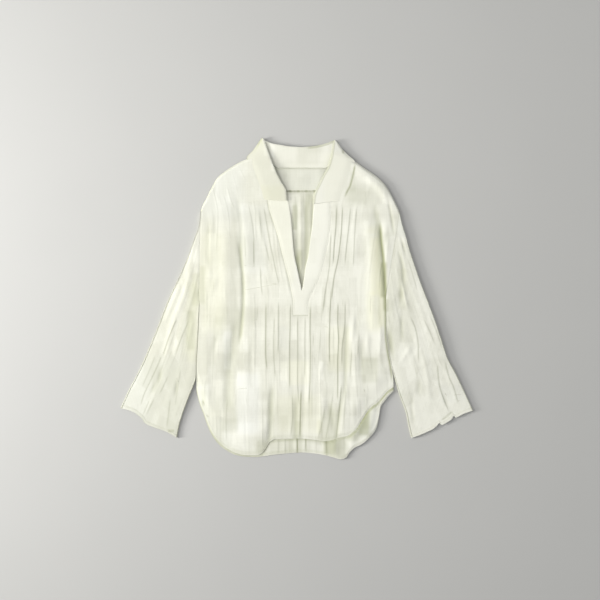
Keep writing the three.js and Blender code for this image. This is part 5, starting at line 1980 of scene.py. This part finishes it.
@dataclass
class Collar:
    """The spread collar: two leaves that fold back over the front, and the back of the neck between them.

    Attributes:
        body: The body that it lies on.
        finish: Its voile.
        roll: Half the height of the turn along its folded edge.
        roll_reach: How far in from that edge the turn reaches.
        curl: Above 1, a leaf stays high near its folded edge and curves down to its free edge.
        stand: How much of the solid collar's height the pressed one keeps.
        lie: How far above the front a leaf's free edge lies.
        turn_gap: How far above that its hidden turn ends.
        droop: How low its free edge may hang past the shoulder.
        pressed: How thick it is at its free edge.
        stitching: The share of the way to the free edge at which it is stitched, and the reach of the painted shade
            along that stitching.
        turn_tone: How deep the shade of its hidden turn is.
        lit_rim_shade: How deep the painted shade on the right leaf's folded edge is, where that edge faces the lamps.
        rim_x: Where that painted shade starts, and where it is full.
        rows: Rows between two sections.
        steps: Steps of the hidden turn, of the roll and of the fall.
    """

    body: Body
    finish: Material
    roll: float = 1.1
    roll_reach: float = 4.5
    curl: float = 1.05
    stand: float = 0.62
    lie: float = 0.05
    turn_gap: float = 0.8
    droop: float = 5.6
    pressed: float = 0.08
    stitching: Point = (0.93, 0.02)
    turn_tone: float = 0.25
    lit_rim_shade: float = 0.42
    rim_x: Point = (20.0, 30.0)
    rows: int = 9
    steps: tuple[int, int, int] = (8, 14, 26)

    LOW = 1.0  # a turn that ends lower than this lies on the floor

    def lines(self, sections: Sequence[Section]) -> dict[str, Array]:
        """A band's three lines, with rows between its sections.

        Args:
            sections: The band's sections.

        Returns:
            The points of its folded edge, its free edge and the turn's end, by the names of a
            section's points.
        """
        at = np.arange(len(sections), dtype=float)
        fine = np.linspace(0, len(sections) - 1, (len(sections) - 1) * self.rows + 1)
        return {
            name: np.stack([
                Curve([(i, getattr(s, name)[axis]) for i, s in zip(at, sections)])(fine) for axis in range(3)
            ], -1)
            for name in ("fold", "free", "turn")
        }

    def middle(self, sections: Sequence[Section]) -> tuple[Array, Array]:
        """The surface in the middle of a band's cloth.

        Args:
            sections: The band's sections.

        Returns:
            Its points, and for each the share of the way from the folded edge to the free edge, or
            -1 where it is in the hidden turn.
        """
        lines = self.lines(sections)
        edge, free, turn = lines["fold"], lines["free"], lines["turn"]
        under_free, under_turn = (
            eased(self.body.front_rest(*line[:, :2].T), self.rows) + WALL + self.lie for line in (free, turn)
        )
        free[:, 2] = np.minimum(free[:, 2], np.maximum(under_free + self.pressed - FACED / 2, self.droop))
        lifted = np.maximum(turn[:, 2] * self.stand, under_turn + self.turn_gap)
        turn[:, 2] = np.where(turn[:, 2] > self.LOW, lifted, turn[:, 2])
        edge[:, 2] = np.maximum(edge[:, 2] * self.stand, turn[:, 2] + 1.5 * self.roll)
        away = (edge - free)[:, :2]
        width = np.linalg.norm(away, axis=1)[:, None]
        roll, reach = np.minimum(self.roll, width / 3), np.minimum(self.roll_reach, width / 3)
        away = unit(away)
        centre = np.hstack([edge[:, :2] - away * reach, edge[:, 2:] - roll])
        low, high = np.maximum(turn[:, 2:], centre[:, 2:] - roll), centre[:, 2:] + roll
        columns, shares = [], []
        for t in np.linspace(0, 1, self.steps[0] + 1)[:-1]:
            height = lerp(turn[:, 2:], low, smoothstep(t))
            columns.append(np.hstack([lerp(turn[:, :2], centre[:, :2], t), height]))
            shares.append(-1.0)
        for angle in np.linspace(-math.pi / 2, math.pi / 2, self.steps[1] + 1):
            height = lerp(low, high, (1 + math.sin(angle)) / 2)
            columns.append(np.hstack([centre[:, :2] + away * reach * math.cos(angle), height]))
            shares.append(0.0 if angle > 0 else -1.0)
        for t in np.linspace(0, 1, self.steps[2] + 1)[1:]:
            height = lerp(high, free[:, 2:], t**self.curl)
            columns.append(np.hstack([lerp(centre[:, :2], free[:, :2], t), height]))
            shares.append(float(t))
        points = np.stack(columns, 1)
        return points, np.broadcast_to(np.array(shares), points.shape[:2])

    def band(self, sections: Sequence[Section], upside: bool) -> tuple[Array, Array, Array]:
        """One folded band of the collar.

        Args:
            sections: Its sections.
            upside: Whether its grid already runs anticlockwise from above.

        Returns:
            The points of its outer face, its faces, and each point's share from folded to free edge.
        """
        points, shares = self.middle(sections)
        ids = np.arange(shares.size).reshape(shares.shape)
        quads = grid_quads(ids)
        if not upside:
            quads = quads[:, ::-1]
        flat = points.reshape(-1, 3)
        return flat + normals_of(flat, quads) * FACED / 2, quads, shares.ravel()

    def build(self) -> Piece:
        """Makes the collar, its three bands overlapping at its two points.

        Returns:
            The collar.
        """
        points, quads, shares = [], [], []
        count = 0
        for sections, upside in ((LEAF_LEFT, False), (COLLAR_BACK, True), (LEAF_RIGHT, True)):
            flat, faces, share = self.band(sections, upside)
            points.append(flat)
            quads.append(faces + count)
            shares.append(share)
            count += len(flat)
        flat, faces, share = np.vstack(points), np.vstack(quads), np.concatenate(shares)
        x, y = flat[:, 0], flat[:, 1]
        # Painted shade: faint along the topstitching, in the hidden turn, and on the right leaf's folded edge where it
        # faces the lamps.
        topstitch = np.where(share > 0, bump(share - self.stitching[0], self.stitching[1]), 0)
        rim = self.lit_rim_shade * np.where(share == 0, ramp(x, self.rim_x), 0)
        painted_shade = 0.08 * topstitch + np.where(share < 0, self.turn_tone, rim)
        check = 0.66 + 0.1 * np.sin(x / 27.0) * np.sin(y / 31.0)
        piece = Cloth(
            "collar_cloth", "collar", "collar", self.finish, (0.56, 0.13), ("front_panel", "back_yoke"),
            lit_edge_shade=0.8,
        )
        thickness = lerp(FACED, self.pressed, ramp(share, (0.6, 1.0)))
        return piece.make(flat, faces, paint_of(painted_shade, check, COLLAR_PATCHES, x, y), thickness)


# ---------------------------------------------------------------- the sleeves


class Side(Enum):
    """Which sleeve it is, as seen from above."""

    LEFT = "left"
    RIGHT = "right"


@dataclass
class Sleeve:
    """One long drop-shoulder sleeve: a flattened tube, open at the armhole and the cuff.

    Attributes:
        side: Which sleeve it is.
        body: The body that it is sewn to.
        finish: Its voile.
        gap: Its distance from the body.
        loft: The air in it.
        rest: Its upper layer's height without its folds.
        cuff_rest: That height at the cuff.
        edge_round: How far in from its edges its upper layer reaches its full height.
        fold_share: How much of the solids' folds it shows.
        top_columns: Columns of its upper layer.
        under_columns: Columns of its lower layer.
        rows: Its rows.
        length: Its length from the armhole to the cuff.
        calm: How far in from its edges its creases start.
        calm_cuff: How far above its cuff they start.
        dip: Where the painted shade beside the armhole seam lies, down from that seam, and how far it spreads.
        hem: Its cuff's turned hem.
        under_inset: How far in from its edges its lower layer starts.
        under_rest: That layer's height without its creases.
    """

    side: Side
    body: Body
    finish: Material
    gap: float = 0.05
    loft: float = 0.35
    rest: float = 5.7
    cuff_rest: float = 3.6
    edge_round: float = 0.9
    fold_share: float = 0.06
    top_columns: int = 104
    under_columns: int = 40
    rows: int = 150
    length: float = 470.0
    calm: float = 5.0
    calm_cuff: float = 5.875
    dip: Point = (1.175, 1.7625)
    hem: TurnedHem = TurnedHem(width=5.0, beyond=0.8, reach=1.2)
    under_inset: float = 1.2
    under_rest: float = 0.15

    RIM_STEPS = np.array([0.0, 0.06, 0.22, 0.5, 0.95, 1.7])  # the columns' places in from an edge
    FADE = 0.12  # the share of the length over which folds and loft fade

    def __post_init__(self) -> None:
        """Fits the outline and scatters the fine creases."""
        is_left = self.side is Side.LEFT
        outline = SLEEVE_OUTLINES[self.side.value]
        body_edge = self.body.left if is_left else self.body.right
        armhole = edge_line(SHOULDER_TIP_Y, UNDERARM_Y, body_edge, runs_down=True)
        self.panel = Panel(armhole, *(Trace(outline[name]) for name in ("cuff", "outer", "inner")))
        self.away = -self.gap if is_left else self.gap
        seed = 21 if is_left else 22
        self.creases = [*SLEEVE_CREASES[self.side.value], *Crinkle(seed, 80, 0.12, 0.08).creases(self.panel)]
        self.under_creases = Crinkle(seed + 10, 60, 0.6, 0.2).creases(self.panel)

    def width(self, down: Array) -> Array:
        """The sleeve's width at shares down its length."""
        return np.linalg.norm(self.panel(1.0, down) - self.panel(0.0, down), axis=-1)

    def top(self, across: Array, down: Array) -> tuple[Array, Array]:
        """The upper layer.

        Args:
            across: Shares of the way from the outer to the inner edge.
            down: Shares of the way from the armhole to the cuff.

        Returns:
            Its height and its painted shade at each point.
        """
        x, y = np.moveaxis(self.panel(across, down), -1, 0)
        width, from_edge = self.width(down), np.minimum(across, 1 - across)
        ridges = np.zeros_like(x)
        for across0, across1, start, end, height, reach in SLEEVE_MAIN_FOLDS[self.side.value]:
            line = lerp(across0, across1, np.clip((down - start) / (end - start), 0, 1))
            taper = smoothstep((down - start) / self.FADE) * smoothstep((end - down) / self.FADE)
            ridges += self.fold_share * height * taper * bump((across - line) * width, reach)
        raised = self.loft * smoothstep(from_edge / 0.06) + ridges * smoothstep(from_edge / 0.07)
        fine, painted_shade = (values.reshape(x.shape) for values in relief(self.creases, x.ravel(), y.ravel()))
        above_cuff = (1 - down) * self.length
        calm = smoothstep(from_edge * width / self.calm) * smoothstep(above_cuff / self.calm_cuff)
        hem, stitched = self.hem.shape(above_cuff)
        base = lerp(self.body.armhole_edge, self.rest, smoothstep(down / 0.03))
        base = lerp(base, self.cuff_rest, ramp(down, (0.6, 1.0)))
        # A faint painted shade just below the armhole seam.
        seam = 0.1 * bump(down * self.length - self.dip[0], self.dip[1])
        height = base + raised * smoothstep(down / self.FADE) + fine * calm * smoothstep(down / 0.02) + hem
        return height, screen(screen(painted_shade * calm, stitched), seam)

    def build(self) -> Piece:
        """Makes the sleeve as one closed ring of cloth, row by row.

        Returns:
            The sleeve.
        """
        down = np.linspace(0, 1, self.rows + 1)[:, None]
        width = self.width(down)
        share = np.linspace(0, 1, self.top_columns - 2 * len(self.RIM_STEPS) + 1)
        inner = (self.edge_round + (width - 2 * self.edge_round) * share) / width
        top_across = np.hstack([self.RIM_STEPS / width, inner, 1 - self.RIM_STEPS[::-1] / width])
        under_share = np.linspace(1, 0, self.under_columns + 1)
        under_across = (self.under_inset + (width - 2 * self.under_inset) * under_share) / width
        across = np.hstack([top_across, under_across])
        plan = self.panel(across, np.broadcast_to(down, across.shape))
        x, y = plan[..., 0].ravel(), plan[..., 1].ravel()

        top, painted_shade = self.top(top_across, np.broadcast_to(down, top_across.shape))
        beside_body = ramp(self.panel(1.0, down)[..., 1], BESIDE_SLEEVE_Y)
        inner_edge = lerp(EDGE_TOP / 2, self.body.underarm_edge, beside_body)
        middle = np.where(top_across > 0.5, inner_edge, EDGE_TOP / 2)
        top = lerp(middle, top, rounded(np.minimum(top_across, 1 - top_across) * width / self.edge_round))
        under_rise, under_shade = (
            values.reshape(across.shape)[:, top.shape[1]:] for values in relief(self.under_creases, x, y)
        )
        height = np.hstack([top, self.under_rest + np.maximum(under_rise, 0)])
        points = np.dstack([plan[..., 0] + self.away, plan[..., 1], height]).reshape(-1, 3)
        quads = grid_quads(np.arange(len(points)).reshape(height.shape), closed=True)
        if self.side is Side.RIGHT:
            quads = quads[:, ::-1]

        along = (np.broadcast_to(down, height.shape) * self.length).ravel()
        seed = 7 if self.side is Side.LEFT else 8
        check = ShadowCheck(seed, contrast=0.2).density((across * width).ravel(), along, y)
        painted_shade = np.hstack([painted_shade, under_shade]).ravel()
        name = f"sleeve_{self.side.value}"
        piece = Cloth(f"{name}_cloth", name, "voile_sleeve", self.finish, (0.40, 0.52))
        thickness = lerp(self.body.seam_cloth, CLOTH, smoothstep(along / 8))
        paint = paint_of(painted_shade, check, SLEEVE_PATCHES[self.side.value], x, y)
        return piece.make(points, quads, paint, thickness)

    def cuff_line(self, inset: float, samples: int = 120) -> Array:
        """A line along the cuff's upper layer.

        Args:
            inset: How far in from the cuff's edge it runs.
            samples: How many points it has.

        Returns:
            Its points.
        """
        across, down = np.linspace(0.04, 0.96, samples), np.full(samples, 1 - inset / self.length)
        height, _ = self.top(across, down)
        plan = self.panel(across, down)
        return np.column_stack([plan[:, 0] + self.away, plan[:, 1], height])


# ---------------------------------------------------------------- needlework


@dataclass
class Needlework:
    """Stitches along the hems and seams, and the cloth's thick yarns.

    Attributes:
        thread: The stitches' material.
        yarn: The thick yarns' material.
        pitch: The distance from stitch to stitch.
        length: A stitch's length.
        radius: The thread's radius.
        yarn_radius: A thick yarn's radius.
        past_hem: How far past a turned hem its stitches run.
    """

    thread: Material
    yarn: Material
    pitch: float = 3.2
    length: float = 2.3
    radius: float = 0.17
    yarn_radius: float = 0.255
    past_hem: float = 0.2

    SIDES = 6
    POINTED = 0.55  # a tube's radius at its ends, as a share

    def stitches(self, name: str, paths: Sequence[Array]) -> Piece:
        """Rows of stitches along paths.

        Args:
            name: The object's name.
            paths: The points that each row follows, on the cloth.

        Returns:
            The stitches as one object.
        """
        points, faces = [], []
        for path in paths:
            steps = np.linalg.norm(np.diff(path, axis=0), axis=1)
            along = np.concatenate([[0.0], np.cumsum(steps)])
            for middle in np.arange(self.pitch, along[-1] - self.pitch / 2, self.pitch):
                ends = [
                    np.array([np.interp(middle + half, along, path[:, axis]) for axis in range(3)])
                    for half in (-self.length / 2, 0.0, self.length / 2)
                ]
                ends[1][2] += 0.5 * self.radius
                self.tube(points, faces, ends, self.radius)
        return self.finish(name, points, faces, self.thread)

    def tube(self, points: list, faces: list, line: Sequence[Array], radius: float) -> None:
        """Adds a thin tube with pointed ends that sink into the cloth.

        Args:
            points: The points so far, to which the tube's are added.
            faces: The faces so far, to which the tube's are added.
            line: The points that it follows.
            radius: Its radius.
        """
        line = np.array(line)
        along = unit(np.gradient(line, axis=0))
        beside = unit(np.cross(along, np.array([0.0, 0.0, 1.0])))
        above = np.cross(beside, along)
        first = len(points)
        turns = np.linspace(0, 2 * math.pi, self.SIDES, endpoint=False)
        for i, centre in enumerate(line):
            size = radius * (self.POINTED if i in (0, len(line) - 1) else 1.0)
            for turn in turns:
                points.append(centre + size * (beside[i] * math.cos(turn) + above[i] * math.sin(turn)))
        for i in range(len(line) - 1):
            for s in range(self.SIDES):
                a, b = first + i * self.SIDES + s, first + i * self.SIDES + (s + 1) % self.SIDES
                faces.append((a, b, b + self.SIDES, a + self.SIDES))
        last = first + (len(line) - 1) * self.SIDES
        faces.append(tuple(first + s for s in reversed(range(self.SIDES))))
        faces.append(tuple(last + s for s in range(self.SIDES)))

    def finish(self, name: str, points: list, faces: list, material: Material) -> Piece:
        """Makes the gathered tubes one piece of the garment.

        Args:
            name: The object's name.
            points: The tubes' points.
            faces: Their faces.
            material: Their material.

        Returns:
            The piece.
        """
        piece = add_mesh(name, np.array(points), faces, material)
        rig.ride(piece, "root")
        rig.slot(piece, "facing")
        LOG.info("%s: %d faces", name, len(faces))
        return piece

    def on(self, surface: SurfaceOf, x: Array, y: Array) -> Array:
        """Points on a piece's surface over the given plan."""
        height, _ = surface(x, y)
        return np.column_stack([x, y, height])

    def hem_rows(self, body: Body) -> None:
        """The stitching of the body's two hems.

        Args:
            body: The body.
        """
        x = np.linspace(HEM[0][0] + 7, HEM[-1][0] - 7, 700)
        for name, hem, turn, surface in (
            ("stitches_front_hem", body.hem_front, body.front_turn, body.front_surface),
            ("stitches_back_hem", body.hem_back, body.back_turn, body.back_surface),
        ):
            y = hem(x)
            slope = np.gradient(y, x)
            inward = np.stack([-slope, np.ones_like(slope)], -1) / np.hypot(1, slope)[:, None]
            at = np.stack([x, y], -1) + inward * (turn.width + self.past_hem)
            inside = (at[:, 0] > body.left(at[:, 1]) + 3) & (at[:, 0] < body.right(at[:, 1]) - 3)
            self.stitches(name, [self.on(surface, at[inside, 0], at[inside, 1])])

    def facing_rows(self, facing: Facing) -> None:
        """The stitching round the facing's outer edge and its tab.

        Args:
            facing: The facing.
        """
        inset = facing.stitch_inset
        bottom = FACING[-1][0] + inset
        ys = np.linspace(FACING[0][0] - 14, bottom, 240)
        left, right = facing.body.facing_left(ys) + inset, facing.body.facing_right(ys) - inset
        across = np.linspace(left[-1], right[-1], 30)
        rows = [(left, ys), (right, ys), (across, np.full_like(across, bottom))]
        self.stitches("stitches_facing", [self.on(facing.surface, *row) for row in rows])

    def seam_row(self, yoke: Yoke) -> None:
        """The stitching beside the yoke seam.

        Args:
            yoke: The yoke.
        """
        x = np.linspace(-34, 50, 80)
        height = WALL + 0.7 * yoke.body.v_fill + yoke.seam_rise
        line = np.column_stack([x, np.full_like(x, YOKE_SEAM_Y + yoke.seam_line), np.full_like(x, height)])
        self.stitches("stitches_yoke", [line])

    def cuff_row(self, sleeve: Sleeve) -> None:
        """The stitching of a cuff's hem."""
        line = sleeve.cuff_line(sleeve.hem.width + sleeve.hem.beyond)
        self.stitches(f"stitches_cuff_{sleeve.side.value}", [line])

    def slubs(self, body: Body, sleeves: Sequence[Sleeve]) -> None:
        """The thick yarns that show here and there in the cloth.

        Args:
            body: The body.
            sleeves: The sleeves.
        """
        points, faces = [], []
        share = np.linspace(0, 1, 12)
        for place, start, end in SLUBS:
            x, y = lerp(start[0], end[0], share), lerp(start[1], end[1], share)
            if place == "front":
                height, _ = body.front_surface(x, y)
            else:
                height = self.on_sleeve(next(s for s in sleeves if s.side.value == place), x, y)
            self.tube(points, faces, np.column_stack([x, y, height + 0.1]), self.yarn_radius)
        self.finish("slub_yarns", points, faces, self.yarn)

    def on_sleeve(self, sleeve: Sleeve, x: Array, y: Array) -> Array:
        """A sleeve's height, from the nearest points of a fine grid.

        Args:
            sleeve: The sleeve.
            x, y: The points.

        Returns:
            The height at each point.
        """
        across, down = np.meshgrid(np.linspace(0.05, 0.95, 160), np.linspace(0.05, 0.99, 300))
        plan = sleeve.panel(across, down).reshape(-1, 2)
        height, _ = sleeve.top(across, down)
        nearest = [int(np.argmin((plan[:, 0] - a) ** 2 + (plan[:, 1] - b) ** 2)) for a, b in zip(x, y)]
        return height.ravel()[nearest]


# ---------------------------------------------------------------- the studio


@dataclass(frozen=True)
class Lamp:
    """A square soft light.

    Attributes:
        name: Its name.
        place: Where it is, in metres.
        side: Its side, in metres.
        power: Its power, in watts.
        colour: Its colour.
        spread: How wide its beam is, in degrees.
    """

    name: str
    place: Triple
    side: float
    power: float
    colour: Triple
    spread: float = 180.0

    def hang(self, aim: Vector) -> None:
        """Puts the light in the scene.

        Args:
            aim: The point that it faces.
        """
        lamp = bpy.data.lights.new(self.name, "AREA")
        lamp.size = self.side
        lamp.energy = self.power
        lamp.color = self.colour
        lamp.spread = math.radians(self.spread)
        holder = bpy.data.objects.new(self.name, lamp)
        holder.location = self.place
        holder.rotation_euler = (aim - holder.location).to_track_quat("-Z", "Y").to_euler()
        bpy.context.scene.collection.objects.link(holder)


@dataclass
class Studio:
    """The pale floor, the lights and the camera straight above.

    Attributes:
        view_width: How much of the floor the camera sees, in metres.
        middle: What it looks at, in the tables' millimetres.
        lens: Its focal length, in millimetres.
        sensor: Its sensor's width, in millimetres.
        floor: The floor's side, in metres.
        below: How far the floor lies below the garment, in metres.
        lamps: The low key light, the light above it and the overhead fill.
        aim: The point that the lights face, in metres.
        air: The strength of the light from all round.
        air_colour: The colour of that light.
    """

    view_width: float = 1.35
    middle: Point = (6.75, 0.0)
    lens: float = 90.0
    sensor: float = 36.0
    floor: float = 12.0
    below: float = 0.0002
    lamps: tuple[Lamp, ...] = (
        Lamp("key", (-3.1, -0.25, 0.8), 0.6, 32.0, (1.0, 0.985, 0.955), 90.0),
        Lamp("high", (-2.45, 0.4, 1.65), 1.5, 55.0, (1.0, 0.99, 0.965)),
        Lamp("fill", (0.3, 0.1, 4.0), 3.0, 33.0, (1.0, 0.99, 0.985)),
    )
    aim: Triple = (0.0, 0.35, 0.0)
    air: float = 0.41
    air_colour: tuple[float, float, float, float] = (0.975, 0.985, 0.985, 1.0)

    def build(self, paper: Material) -> None:
        """Sets up the floor, the lights and the camera.

        Args:
            paper: The floor's material.
        """
        half = self.floor / 2
        corners = [(-half, -half, 0.0), (half, -half, 0.0), (half, half, 0.0), (-half, half, 0.0)]
        mesh = bpy.data.meshes.new("floor")
        mesh.from_pydata(corners, [], [(0, 1, 2, 3)])
        mesh.materials.append(paper)
        floor = bpy.data.objects.new("floor", mesh)
        floor.location.z = -self.below
        bpy.context.scene.collection.objects.link(floor)
        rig.stage(floor)
        for lamp in self.lamps:
            lamp.hang(Vector(self.aim))
        world = bpy.data.worlds.new("air")
        world.use_nodes = True
        background = world.node_tree.nodes["Background"]
        background.inputs[0].default_value = self.air_colour
        background.inputs[1].default_value = self.air
        bpy.context.scene.world = world
        bpy.context.scene.view_settings.view_transform = "Standard"
        self.camera()
        LOG.info("studio: floor, %d lights and camera", len(self.lamps))

    def camera(self) -> None:
        """Adds the camera straight above the garment."""
        lens = bpy.data.cameras.new("camera")
        lens.lens, lens.sensor_width = self.lens, self.sensor
        height = self.view_width / 2 / math.tan(math.atan(self.sensor / 2 / self.lens))
        camera = bpy.data.objects.new("camera", lens)
        place = PLACE.metres(np.array([*self.middle, 0.0]))
        camera.location = (place[0], place[1], height)
        lens.clip_end = 100.0
        bpy.context.scene.collection.objects.link(camera)
        bpy.context.scene.camera = camera


def main() -> None:
    """Builds the tunic and its studio, piece by piece, and notes the two boxes."""
    logging.basicConfig(level=logging.INFO, format="%(name)s: %(message)s")
    Studio().build(Paper().material())

    body = Body(Voile("voile_body").material())
    body.build_back()
    yoke = Yoke(body)
    yoke.build()
    body.build_front()
    facing = Facing(body, Voile("pressed_voile", crush=0.3, check=0.3).material())
    facing.build()
    Collar(body, Voile("collar_voile", crush=0.3, check=0.3).material()).build()
    sleeves = [
        Sleeve(Side.LEFT, body, Voile("sleeve_voile_left", lean=-18).material()),
        Sleeve(Side.RIGHT, body, Voile("sleeve_voile_right", lean=17).material()),
    ]
    for sleeve in sleeves:
        sleeve.build()
    slub_yarn = Thread("slub_yarn", (206, 206, 186), 0.001)
    needle = Needlework(Thread("sewing_thread").material(), slub_yarn.material())
    needle.hem_rows(body)
    needle.facing_rows(facing)
    needle.seam_row(yoke)
    for sleeve in sleeves:
        needle.cuff_row(sleeve)
    needle.slubs(body, sleeves)

    with open("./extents.json", "w", encoding="utf-8") as note:
        json.dump({"cad": CAD_BOX, "visual": [list(corner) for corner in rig.bounds()]}, note, indent=1)


if __name__ == "__main__":
    main()
